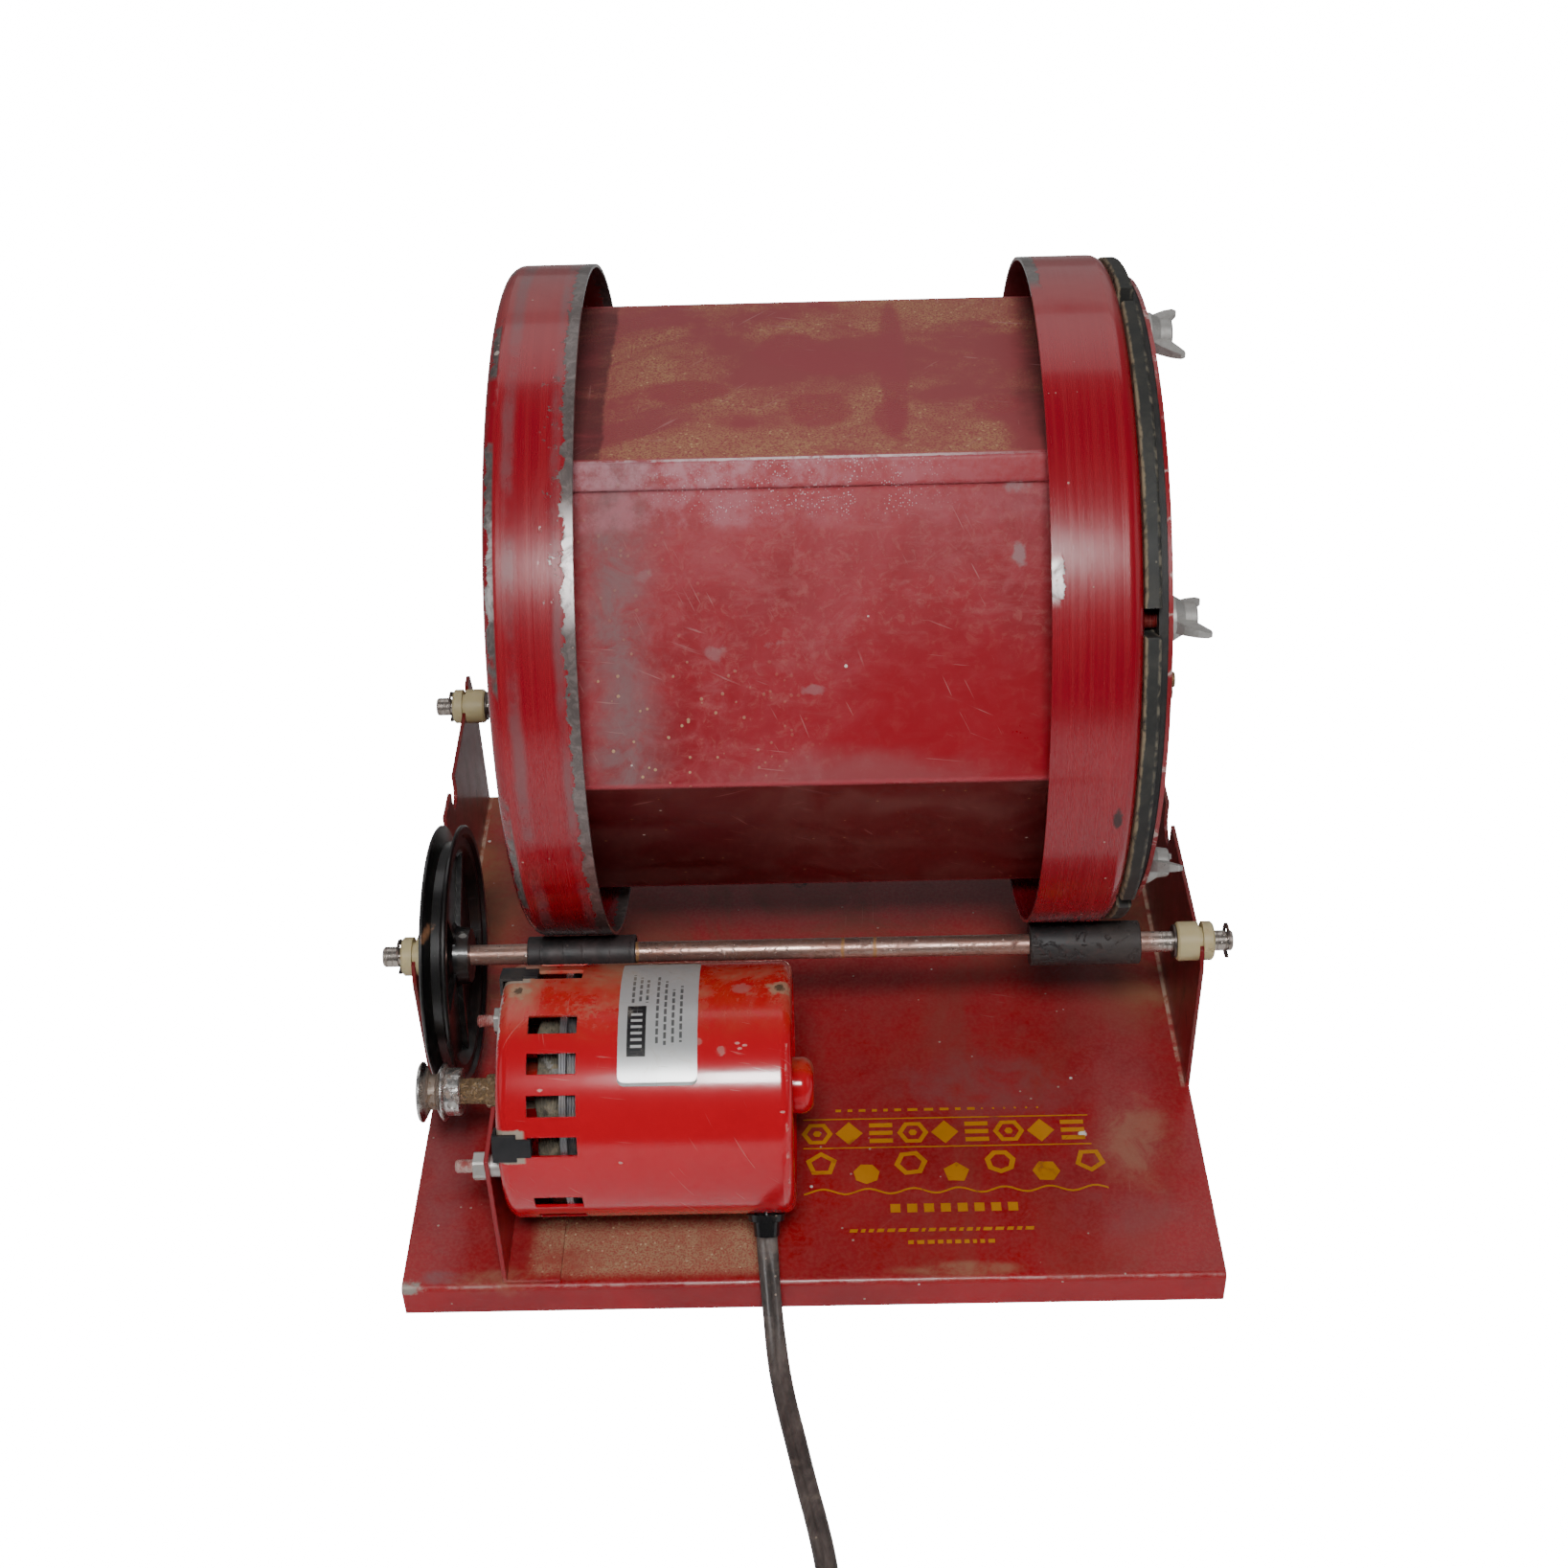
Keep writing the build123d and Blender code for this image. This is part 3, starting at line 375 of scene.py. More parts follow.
def red_paint_frame():
    """Dark red enamel of the deck, lips and side plates, with dust where hands don't wipe."""
    sh = Finish("red_paint_frame", (0.385, 0.003, 0.01), 0.3, tone=0.32)
    x, y, z = sh.split()
    lip_y = sh.minus(y, FRONT_Y)
    deck = sh.between(z, 0.0125, 0.016, 0.0006)
    plate = sh.ramp(sh.plain(x), 0.15, 0.1508)
    upright = sh.times(plate, sh.ramp(z, 0.015, 0.017))
    sh.patches(((0.44, 0.72, 13), 0.5, (0.28, 0.018, 0.022), 0.45),
               ((0.5, 0.78, 30), 0.4, (0.34, 0.04, 0.03), 0.5))
    sh.over((deck, sh.grit(0.4, 0.62, 700), 0.22), (0.38, 0.105, 0.085), 0.55)
    sh.over((deck, sh.cloud(0.38, 0.66, 44, 9, 0.78), 0.28), (0.34, 0.062, 0.062), 0.5)
    # the film in streaks along the deck's right half
    streak = sh.streaks(0.5, 0.74, (26, 9, 26), 6, 0.6, 0.8)
    sh.over((streak, deck, sh.between(x, 0.03, 0.15, 0.03), 0.5), (0.27, 0.06, 0.045), 0.55)
    for centre, radius, color, weight in (
            ((72, 98, 14), (34, 16, 6), MAUVE, 0.55), ((128, 66, 14), (14, 20, 6), BEIGE, 0.4),
            ((118, 30, 14), (22, 10, 6), MAUVE, 0.35), ((56, 5, 14), (20, 3, 6), BEIGE, 0.55),
            ((-118, 4, 14), (16, 4, 6), BEIGE, 0.4), ((-138, 5, 14), (8, 3, 6), GREY_FILM, 0.5),
            ((-140, 60, 14), (9, 40, 6), GREY_FILM, 0.25)):
        spot = sh.spot(from_lip(*centre), mm(*radius), 0.5, 0.7, 90)
        sh.over((spot, sh.cloud(0.3, 0.6, 60), weight), color, 0.6)
    # beige dust that fell in front of and under the motor
    under = sh.times(sh.between(x, -0.104, -0.018, 0.004), sh.between(lip_y, 0.005, 0.075, 0.003),
                     deck)
    sh.over((under, 0.45), (0.4, 0.155, 0.1), 0.7)
    settled = sh.times(under, sh.cloud(0.3, 0.56, 30, 9, 0.8, 0.0))
    sh.over((settled, sh.grit(0.34, 0.6, 1300), 0.85), (0.44, 0.29, 0.165), 0.8, height=0.5)
    sh.over((settled, sh.specks(560, 0.2, 0.2), 0.8), (0.66, 0.5, 0.32), 0.8, height=0.5)
    # brown dirt behind the large pulley and at the feet of the side plates
    foot = sh.times(deck, sh.ramp(sh.plain(x), 0.112, 0.146), sh.ramp(lip_y, 0.118, 0.15))
    sh.over((foot, sh.cloud(0.36, 0.66, 26, 9, 0.7), 0.75), (0.3, 0.15, 0.075), 0.75)
    behind = sh.times(deck, sh.ramp(lip_y, 0.15, 0.19))
    sh.over((behind, sh.cloud(0.42, 0.7, 22), 0.6), (0.17, 0.075, 0.045), 0.7)
    # insides of the plates: darker, with brown runs
    sh.over((upright, 0.62), (0.12, 0.005, 0.006), 0.42)
    runs = sh.streaks(0.46, 0.7, (40, 60, 26), 7, 0.66, 0.6)
    sh.over((upright, runs, 0.55), (0.19, 0.085, 0.065), 0.6)
    sh.over((upright, sh.cloud(0.62, 0.74, 42)), (0.055, 0.018, 0.014), 0.6)
    # fine wear everywhere
    sh.over((sh.scratches(8, 0.015), sh.cloud(0.45, 0.65, 20), 0.4), (0.4, 0.16, 0.14), 0.5)
    sh.over(sh.specks(260, 0.1, 0.05), (0.42, 0.26, 0.22), 0.6)
    sh.over(sh.specks(75, 0.045, 0.1), PALE, 0.6, height=0.6)
    sh.over((sh.specks(34, 0.11, 0.16), sh.cloud(0.4, 0.6, 260)), SOOT, 0.6)
    dab = sh.spot(from_lip(107, 71, 14), 1.5 * MM, 0.3, 0.5, 900)
    sh.over(dab, (0.85, 0.8, 0.74), 0.6, height=0.8)
    # the front fold: a painted highlight along it; worn paint at its ends and at the rim of each plate
    # painted highlight: a pale line along the top of the front fold
    fold = sh.times(sh.fall(lip_y, 0.0007, 0.0015), sh.ramp(z, 0.0126, 0.0134))
    sh.over((fold, sh.cloud(0.44, 0.6, 90), 0.45), (0.55, 0.36, 0.34), 0.3)
    corner = sh.spot(from_lip(-149.5, 1.5, 12.6), mm(4.5, 3, 1.8), 0.35, 0.9, 300)
    sh.over(corner, (0.4, 0.34, 0.3), 0.55, 0.5, -0.7)
    seam = sh.times(deck, sh.between(sh.plain(x), 0.1492, 0.1509, 0.0003),
                    sh.ramp(lip_y, 0.094, 0.098))
    sh.over((seam, sh.cloud(0.35, 0.6, 120), 0.8), (0.5, 0.36, 0.27), 0.6)
    return sh.done(0.0005, 0.55, 0.0009, coat=0.2, coat_rough=0.12, specular=0.4)


def red_paint_motor():
    """Bright glossy enamel, dusty on top and chipped round the black clips."""
    sh = Finish("red_paint_motor", (0.585, 0.0002, 0.012), 0.16, tone=0.1, grain=300.0)
    x, angle, radius = sh.round_about(MOTOR)
    back = sh.fall(angle, radians(130), radians(174))
    up = sh.times(sh.ramp(angle, radians(58), radians(100)), back)
    around = sh.join(x, sh.times(angle, MOTOR_R), radius)
    sh.over((up, sh.cloud(0.36, 0.7, 34, 9, 0.7, 0.9), 0.75), (0.48, 0.085, 0.035), 0.5)
    sh.over((up, sh.cloud(0.52, 0.74, 60, 9, 0.74, 1.0), sh.grit(0.4, 0.6, 500), 0.8),
            (0.4, 0.24, 0.15), 0.75)
    sh.over((sh.ramp(angle, 1.15, 1.75), back, sh.cloud(0.4, 0.62, 24), 0.7), BEIGE, 0.8)
    # dents and chips in the dusty top, and bare flecks

    def place_at(x_mm, degrees):
        return on_drum(MOTOR, x_mm * MM, MOTOR_R, radians(degrees))

    for x_mm, degrees, size in ((-103, 96, 2.8), (-9.5, 95, 2.7)):
        place = place_at(x_mm, degrees)
        sh.over((sh.spot(place, size * 1.35 * MM, 0.35, 1.3, 380), 0.8), (0.4, 0.26, 0.16), 0.7)
        sh.over(sh.spot(place, size * 0.6 * MM, 0.3, 1.2, 700), (0.11, 0.065, 0.035), 0.7, height=-1.0)
    for x_mm, degrees, size in ((-23.1, 95, 2.8), (-30, 62, 1.6), (-38, 66, 1.2)):
        chip = sh.spot(place_at(x_mm, degrees), size * MM, 0.4, 1.0, 420)
        sh.over((chip, 0.5), (0.4, 0.2, 0.17), 0.6)
    for place in ((-8.8, 34.6), (-24.2, 65), (-21.6, 64), (-23.4, 62.5), (-66, 12), (-93, 46)):
        fleck = sh.spot(place_at(*place), mm(0.8, 0.45, 0.45), 0.3, 0.9, 900)
        sh.over((fleck, 0.6), (0.7, 0.38, 0.34), 0.5, height=-0.6)
    # bare rims: the left edge by the clips and the right edge of the shell
    left = sh.plus(x, sh.wave(0.006, 420, 5, 0.7, 0, around))
    sh.over((sh.fall(left, -0.109, -0.108), sh.ramp(angle, 1.0, 1.3)), PALE, 0.6)
    for k in range(4):
        ragged = sh.times(sh.noise(300, 5, 0.7, 0, around), 0.05)
        near = sh.minus(sh.apart(angle, radians(20.4 + 90 * k)), ragged)
        close = sh.times(sh.fall(near, 0.105, 0.125), sh.fall(x, -0.1, -0.0985))
        sh.over(close, (0.4, 0.32, 0.25), 0.65, height=-0.5)
    dots = sh.specks(330, 0.2, 0.3, around)
    patch = sh.times(sh.between(angle, -0.17, 0.12, 0.03), sh.between(x, -0.1057, -0.1044, 0.0002))
    sh.over((dots, patch), SOOT, 0.7, height=-1.0)
    sh.over((sh.specks(110, 0.05, 0.07), 0.9), (0.78, 0.62, 0.58), 0.6)
    sh.over(sh.specks(90, 0.035, 0.06), (0.05, 0.008, 0.006), 0.6)
    sh.over((sh.scratches(10, 0.0), 0.3), (0.62, 0.25, 0.22), 0.5)
    edge = sh.times(sh.between(x, -0.0078, -0.0068, 0.0003), sh.cloud(0.54, 0.62, 110))
    sh.over((edge, 0.45), (0.75, 0.4, 0.36), 0.4)
    return sh.done(0.0004, 0.35, 0.0005, coat=0.3, coat_rough=0.07)


def red_paint_barrel():
    """The hexagonal body: each side keeps its own dirt, as it lay when last used."""
    sh = Finish("red_paint_barrel", (0.32, 0.0025, 0.011), 0.34, tone=0.3)
    x, angle, _ = sh.round_about(BARREL)
    corner = SEAM_ANGLE
    side = radians(60)
    front = sh.between(angle, corner - side, corner, 0.002)
    top = sh.between(angle, corner, corner + side, 0.002)
    low = sh.fall(angle, corner - side - 0.004, corner - side + 0.004)
    # front: mottled pink-grey, cleaner to the lower right
    sh.patches(((0.38, 0.68, 19, 10, 0.72, 0.8), 0.7, (0.325, 0.02, 0.032), 0.5))
    sh.over((front, sh.cloud(0.48, 0.68, 42, 10, 0.76, 0.8), 0.6), (0.34, 0.048, 0.058), 0.55)
    fibres = sh.streaks(0.48, 0.7, (60, 190, 190), 6, 0.7, 0.4)
    sh.over((front, fibres, 0.35), (0.35, 0.07, 0.072), 0.55)
    sh.over((front, sh.cloud(0.5, 0.66, 260, 6, 0.75), 0.35), (0.38, 0.095, 0.08), 0.6)
    clean = sh.spot(BARREL + Vector((0.055, -0.105, 0.012)), (0.05, 0.05, 0.03), 0.6, 0.5, 45)
    sh.over((clean, front, 0.75), (0.31, 0.0012, 0.01), 0.25)
    wave = sh.wave(0.022, 30, 6, 0.7)
    grey = sh.between(sh.plus(x, sh.times(wave, 1.4)), -0.071, -0.052, 0.01)
    sh.over((grey, front, sh.cloud(0.24, 0.62, 55, 9, 0.75), 0.85), (0.2, 0.118, 0.12), 0.6)
    film = sh.spot(BARREL + Vector((0.018, -0.1, -0.002)), (0.045, 0.05, 0.008), 0.6, 0.6, 60)
    sh.over((film, front, 0.4), (0.22, 0.085, 0.088), 0.6)
    for centre, size, weight in (
            ((76, -74, 66), (2.2, 8, 3.6), 0.7), ((76, -62, 86), (4.2, 4, 2.6), 0.6),
            ((-28, -88, 38), (3.0, 6, 2.0), 0.35), ((-52, -76, 62), (2.6, 6, 2.0), 0.3),
            ((-8, -84, 40), (5.0, 5, 1.2), 0.4), ((5, -96, 26), (3.4, 5, 1.4), 0.35)):
        spot = sh.spot(BARREL + Vector(centre) * MM, mm(*size), 0.35, 1.3, 200)
        sh.over((spot, weight), (0.3, 0.19, 0.195), 0.6)
    # top: beige grit on mauve haze, feathered on the left and wiped in patches
    sh.over((top, 0.85), (0.29, 0.058, 0.062), 0.62)
    sand = sh.times(sh.streaks(0.34, 0.6, (14, 19, 19), 10, 0.78, 0.3),
                    sh.streaks(0.4, 0.56, (17, 20, 20, (5, 0, 0)), 5, 0.6, 0.2))
    sh.over((top, sand, sh.grit(0.34, 0.62, 1400), 0.9), (0.46, 0.245, 0.125), 0.8, height=0.4)
    sh.over((top, sand, sh.specks(520, 0.2, 0.22), 0.8), (0.6, 0.38, 0.2), 0.8, height=0.4)
    feather = sh.streaks(0.44, 0.58, (13, 52, 13), 7, 0.62, 0.5, sh.turned((0, 0, -0.6)))
    sh.over((top, feather, sh.fall(x, -0.05, -0.01), 0.85), (0.29, 0.045, 0.054), 0.5)
    for centre, size in (
            ((0, 15, 97), (13, 13, 9)), ((9, -27, 97), (11.5, 12, 9)), ((36, 2, 97), (4.8, 50, 14)),
            ((34, -34, 97), (6.0, 12, 9)), ((71, -27, 97), (8, 7, 8)), ((18, 6, 97), (19, 9, 8)),
            ((-38, -13, 97), (15, 8, 8))):
        wiped = sh.spot(BARREL + Vector(centre) * MM, mm(*size), 0.2, 0.42, 70)
        sh.over((wiped, top, 0.75), (0.29, 0.034, 0.044), 0.42)
    streaks = sh.streaks(0.26, 0.58, (20, 70, 70), 8, 0.7, 0.4)
    uneven = sh.plus(x, sh.times(wave, 0.35))
    sh.over((sh.fall(uneven, -0.0668, -0.0652), top, streaks, 0.85), (0.105, 0.022, 0.024), 0.65)
    sh.over((sh.ramp(sh.plus(x, wave), 0.078, 0.088), top, streaks, 0.7), (0.12, 0.026, 0.026), 0.65)
    # lower side: brown-black film
    sh.over((low, 0.88), (0.115, 0.008, 0.009), 0.45)
    sh.patches(((0.4, 0.62, 26, 9, 0.72), 0.75, (0.185, 0.05, 0.044), 0.6),
               ((0.52, 0.64, 34, 7, 0.6, 0.9), 0.7, (0.1, 0.002, 0.004), 0.3), on=low)
    sh.over((low, sh.specks(260, 0.1, 0.08), 0.8), (0.42, 0.25, 0.15), 0.7)
    # yellowish grains low on the left, white specks and scratches
    left = sh.times(sh.fall(x, -0.075, 0.02), front, sh.ramp(angle, 0.15, 0.5, 1.0, 0.15))
    sh.over((sh.specks(420, 0.2, 0.16), left), (0.52, 0.32, 0.18), 0.7, height=0.5)
    sh.over(sh.specks(120, 0.055, 0.08), (0.75, 0.62, 0.56), 0.6, height=0.5)
    sh.over((sh.scratches(9, 0.01), 0.45), (0.45, 0.2, 0.19), 0.5)
    # the corners are worn, and the strip above the seam keeps pale haze; its fine pits carry painted sparkle
    # highlights, and a painted highlight runs along the fold
    for k in range(6):
        off = sh.apart(angle, corner + side * (k - 4))
        off = sh.plus(off, sh.times(sh.noise(140, 6, 0.7), 0.012))
        sh.over((sh.fall(off, 0.01, 0.02), 0.65), (0.42, 0.06, 0.075), 0.2)
    width = 0.083       # of the strip, as an angle
    strip = sh.between(angle, corner - width, corner, 0.001)
    sh.over((strip, sh.ramp(x, 0.005, 0.065), 0.75), (0.32, 0.012, 0.022), 0.3)
    sh.over((strip, sh.cloud(0.4, 0.62, 70, 8, 0.74, 0.0), sh.ramp(x, -0.02, 0.065, 0.75, 0.15)),
            (0.46, 0.19, 0.225), 0.35)
    below = sh.between(angle, corner - 0.2, corner - width, 0.02)
    sh.over((below, sh.cloud(0.42, 0.62, 50, 8, 0.74, 0.0), sh.ramp(x, -0.04, 0.03, 0.75, 0.2)),
            (0.4, 0.125, 0.15), 0.45)
    # painted highlights: small white specks on the strip, where the lamp's highlight falls
    painted_sparkle = sh.times(sh.between(angle, corner - 0.16, corner - 0.006, 0.04),
                   sh.between(x, -0.035, 0.04, 0.03), sh.specks(1300, 0.26, 0.4))
    sh.over((painted_sparkle, sh.cloud(0.42, 0.6, 80), 0.7), (0.9, 0.74, 0.78), 0.25, height=0.6)
    # painted highlight: a pale line along the fold above the seam
    fold = sh.plus(sh.apart(angle, corner - 0.003), sh.times(sh.noise(260, 6, 0.7), 0.006))
    glint = sh.times(sh.fall(fold, 0.007, 0.011), sh.between(x, -0.052, 0.06, 0.04))
    sh.over((glint, sh.cloud(0.36, 0.52, 130), 0.85), (0.92, 0.78, 0.8), 0.2)
    return sh.done(0.0005, 0.6, 0.0022, coat=0.1, coat_rough=0.2, specular=0.35)


def red_paint_pan():
    """The two end rings: gloss worn in lines where they ran on the sleeves, bare at the mouths."""
    sh = Finish("red_paint_pan", (0.285, 0.0004, 0.01), 0.22, tone=0.12, grain=260.0)
    x, angle, radius = sh.round_about(BARREL)
    around = sh.join(x, sh.times(angle, PAN_R), radius)
    lines = sh.streaks(0.42, 0.66, (420, 3.0, 60), 4, 0.6, 0.1, around)
    side = sh.ramp(radius, PAN_R - 0.006, PAN_R - 0.003)
    sh.over((lines, side, 0.3), (0.36, 0.018, 0.024), 0.34)
    turned = sh.streaks(0.4, 0.6, (620, 1.2, 30), 4, 0.7, 0.0, around)
    sh.rough = sh.blend(sh.times(turned, side, 0.4), sh.rough, 0.34)
    # painted reflection: a pale haze over the upper part of the rings, where the bright sky above them is mirrored
    haze = sh.times(sh.ramp(angle, radians(66), radians(98)),
                    sh.fall(angle, radians(125), radians(172)), side)
    sh.over((haze, sh.cloud(0.15, 0.6, 30), 0.85), (0.34, 0.07, 0.072), 0.5)
    hazy = sh.times(side, sh.streaks(0.54, 0.76, (70, 12, 60), 7, 0.64, 0.5, around))
    sh.over((hazy, 0.25), (0.31, 0.03, 0.034), 0.42)
    # greyish worn lines beside the rounded edge and near the mouth
    along = sh.plus(x, sh.wave(0.004, 26, 6, 0.66, 0, around))
    patchy = sh.streaks(0.36, 0.62, (30, 26, 30), 6, 0.6, 0.3, around)
    for low, high in ((-0.0965, -0.0925), (-0.08, -0.0768)):
        sh.over((sh.between(along, low, high, 0.0012), patchy, side, 0.62), (0.17, 0.085, 0.09), 0.34)
    # flaked paint at the mouth of the left ring, a chip and nicks on the right one
    mouth = -0.0728
    flake = sh.plus(x, sh.wave(0.0105, 165, 8, 0.72, 0.4, around))
    bare = sh.times(sh.ramp(flake, mouth - 0.0042, mouth - 0.0039), sh.fall(x, -0.01, 0.01), side)
    island = sh.times(sh.between(x, mouth - 0.011, mouth - 0.005, 0.001),
                      sh.between(angle, radians(34), radians(70), 0.05),
                      sh.ramp(sh.noise(210, 6, 0.7, 0.4, around), 0.6, 0.62))
    rim = sh.plus(radius, sh.times(sh.noise(150, 7, 0.7, 0.4, around), 0.007))
    left_edge = sh.times(sh.ramp(rim, PAN_R + 0.0018, PAN_R + 0.0022),
                         sh.between(x, -0.1036, -0.0995, 0.0004),
                         sh.ramp(sh.noise(22, 4, 0.6, 0, around), 0.46, 0.52))
    right = sh.minus(x, sh.wave(0.008, 190, 8, 0.72, 0.4, around))
    chip_where = sh.math("MAXIMUM", sh.between(angle, radians(32), radians(38.5), 0.02),
                         sh.between(angle, radians(92), radians(116), 0.04))
    chip = sh.times(sh.fall(right, 0.0876, 0.088), sh.ramp(x, 0.0, 0.02), chip_where, side)
    # painted highlight: the bare metal below is drawn paler in the band where the lamp's highlight falls
    polished = sh.times(sh.between(angle, radians(31), radians(47), 0.05),
                        sh.cloud(0.36, 0.56, 130, 7, 0.7))
    for mask in (bare, island, left_edge, chip):
        bright = sh.mix(sh.cloud(0.4, 0.7, 260, 7, 0.7), BARE, (0.24, 0.195, 0.185))
        bright = sh.mix(polished, bright, (0.62, 0.57, 0.56))
        sh.over(mask, bright, 0.36, 0.45, -0.9)
    nick = sh.spot(on_drum(BARREL, 0.1085, PAN_R, -0.08), mm(1.6, 6, 4.4), 0.3, 0.6, 500)
    sh.over(nick, (0.045, 0.012, 0.012), 0.6)
    grains = sh.times(sh.specks(420, 0.14, 0.03), side, sh.cloud(0.5, 0.6, 20))
    sh.over(grains, (0.55, 0.36, 0.3), 0.6, height=0.5)
    sh.over((sh.specks(70, 0.06, 0.1), side), (0.62, 0.52, 0.46), 0.6)
    face = sh.fall(radius, PAN_R - 0.007, PAN_R - 0.005)
    sh.over((face, sh.cloud(0.34, 0.66, 18), 0.6), (0.17, 0.04, 0.036), 0.5)
    return sh.done(0.0004, 0.5, 0.0005, coat=0.4, coat_rough=0.1)


def red_paint_lid():
    sh = Finish("red_paint_lid", (0.3, 0.004, 0.011), 0.28, tone=0.25)
    radius = sh.round_about(BARREL)[2]
    sh.patches(((0.4, 0.7, 18), 0.5, (0.22, 0.05, 0.045), 0.5))
    rim = sh.ramp(radius, 0.1179, 0.1184)
    sh.over((rim, sh.cloud(0.56, 0.66, 150), 0.8), (0.55, 0.42, 0.38), 0.35)
    sh.over((sh.scratches(8, 0.02), 0.5), (0.42, 0.18, 0.17), 0.5)
    sh.over(sh.specks(120, 0.06, 0.08), (0.7, 0.6, 0.55), 0.6)
    return sh.done(0.0004, 0.5, coat=0.4, coat_rough=0.15)


def red_paint_bolts():
    sh = Finish("red_paint_bolts", (0.42, 0.1, 0.09), 0.45)
    sh.patches(((0.4, 0.62, 160), 0.8, (0.6, 0.42, 0.38), 0.6))
    x = sh.split()[0]
    sh.ripple(x, 0.0008, sh.times(sh.fall(x, -0.1148, -0.114), 0.5))
    return sh.done(0.0003, 0.8)


def red_paint_studs():
    sh = Finish("red_paint_studs", (0.2, 0.008, 0.008), 0.35)
    x = sh.split()[0]
    sh.ripple(x, 0.00127, 0.8)
    sh.over((sh.ramp(x, 0.1245, 0.125), 0.9), (0.42, 0.4, 0.38), 0.4, 0.9)
    sh.patches(((0.45, 0.7, 300), 0.6, (0.3, 0.1, 0.08), 0.6))
    return sh.done(0.0004, 0.9)


def metal(name, color, rough, dirt, dirt_color=RUST, full=1.0):
    sh = Finish(name, color, rough, full, 0.2, 400.0)
    sh.patches(((0.45, 0.72, 120, 7, 0.68), dirt, dirt_color, 0.65, 0.3))
    sh.over((sh.scratches(30, 0.02), 0.3), tuple(min(1, c * 1.4) for c in color), rough)
    return sh


def shaft_steel():
    """Steel rods under a brown film, polished in a broken line and bright at the ends."""
    sh = Finish("shaft_steel", (0.58, 0.4, 0.34), 0.27, 0.85, 0.3, 300.0)
    x = sh.split()[0]
    film = sh.streaks(0.36, 0.66, (55, 300, 300), 7, 0.7, 0.4)
    sh.over((film, 0.8), (0.3, 0.135, 0.1), 0.45, 0.5)
    sh.patches(((0.52, 0.7, 130, 6, 0.7), 0.8, (0.13, 0.052, 0.034), 0.7, 0.1),
               ((0.56, 0.7, 480, 4, 0.7), 0.7, (0.62, 0.56, 0.52), 0.22, 1.0, 0.6))
    ends = sh.ramp(sh.plain(x), 0.131, 0.14)
    sh.over((ends, 0.9), (0.55, 0.5, 0.45), 0.24, 1.0)
    rings = sh.streaks(0.5, 0.6, (900, 2, 2), 3, 0.6, 0)
    sh.over((ends, rings, 0.5), (0.16, 0.12, 0.1), 0.4, 0.8)
    for at in (-0.0652, 0.0145, 0.0268):
        uneven = sh.plus(x, sh.times(sh.noise(300, 4), 0.002))
        sh.over((sh.between(uneven, at, at + 0.0012, 0.0003), 0.7), (0.45, 0.22, 0.06), 0.6, 0.3)
    return sh.done(0.0003, 0.8)


def rusty_steel():
    sh = Finish("rusty_steel", (0.33, 0.22, 0.13), 0.55, 0.5, 0.35, 500.0)
    sh.over((sh.cloud(0.42, 0.6, 330, 7, 0.75), 0.9), (0.42, 0.27, 0.13), 0.8, 0.0, 1.2)
    sh.over(sh.cloud(0.6, 0.68, 700, 4, 0.7), (0.7, 0.62, 0.52), 0.3, 0.9)
    sh.over((sh.cloud(0.56, 0.7, 240, 6, 0.7), 0.85), (0.09, 0.04, 0.018), 0.9, 0.0)
    return sh.done(0.0006, 1.0)


def pulley_zinc():
    """The small die-cast pulley: bright flanges, brown groove and hub with rust freckles."""
    sh = Finish("pulley_zinc", (0.72, 0.7, 0.68), 0.24, 1.0, 0.2, 300.0)
    x, angle, radius = sh.round_about(MOTOR)
    groove = sh.times(sh.between(x, -0.1405, -0.136, 0.0006), sh.fall(radius, 0.0105, 0.0112))
    hub = sh.ramp(x, -0.1345, -0.1338)
    sh.over((groove, 0.8), (0.24, 0.15, 0.085), 0.55, 0.4)
    brown = sh.math("MAXIMUM", groove, sh.times(hub, 0.8))
    sh.over((brown, sh.cloud(0.5, 0.62, 300, 7, 0.74)), (0.2, 0.105, 0.048), 0.75, 0.1, 0.8)
    turned = sh.streaks(0.4, 0.6, (60, 60, 900), 3, 0.6, 0, sh.join(x, angle, radius))
    sh.over((turned, 0.35), (0.34, 0.32, 0.31), 0.36, 1.0)
    sh.over((sh.cloud(0.6, 0.68, 240), 0.7), (0.25, 0.17, 0.11), 0.6, 0.4)
    return sh.done(0.0004, 0.7)


def black_pulley():
    sh = Finish("black_pulley", (0.0075, 0.007, 0.007), 0.3, tone=0.3, grain=240.0)
    x, angle, radius = sh.round_about(DRIVE)
    wedge = sh.join(x, sh.times(angle, 0.05), radius)
    smears = sh.streaks(0.46, 0.74, (50, 34, 160), 7, 0.66, 0.6, wedge)
    sh.over((smears, 0.5), (0.05, 0.04, 0.037), 0.5)
    web = sh.times(sh.ramp(radius, 0.044, 0.041, 0, 1), sh.ramp(x, -0.1345, -0.1335))
    sh.over((web, sh.cloud(0.38, 0.7, 46), 0.7), (0.035, 0.021, 0.016), 0.6)
    scuffed = Vector((-0.1382, DRIVE.y - 0.03, DRIVE.z + 0.038))
    scuff = sh.spot(scuffed, mm(2.6, 5, 2), 0.4, 0.8, 500)
    sh.over(scuff, (0.34, 0.16, 0.08), 0.6)
    sh.over((sh.scratches(14, 0.01), 0.5), (0.09, 0.08, 0.075), 0.4)
    sh.over(sh.specks(220, 0.07, 0.05), (0.2, 0.16, 0.13), 0.6)
    return sh.done(0.0003, 0.5, coat=0.3, coat_rough=0.12)


def rubber(name, color, dust, dust_color, rough=0.62):
    sh = Finish(name, color, rough, tone=0.3, grain=500.0)
    sh.patches(((0.42, 0.72, 55, 8, 0.7), dust, dust_color, 0.8))
    sh.over(sh.specks(380, 0.12, 0.04), tuple(c * 1.6 for c in dust_color), 0.8)
    return sh


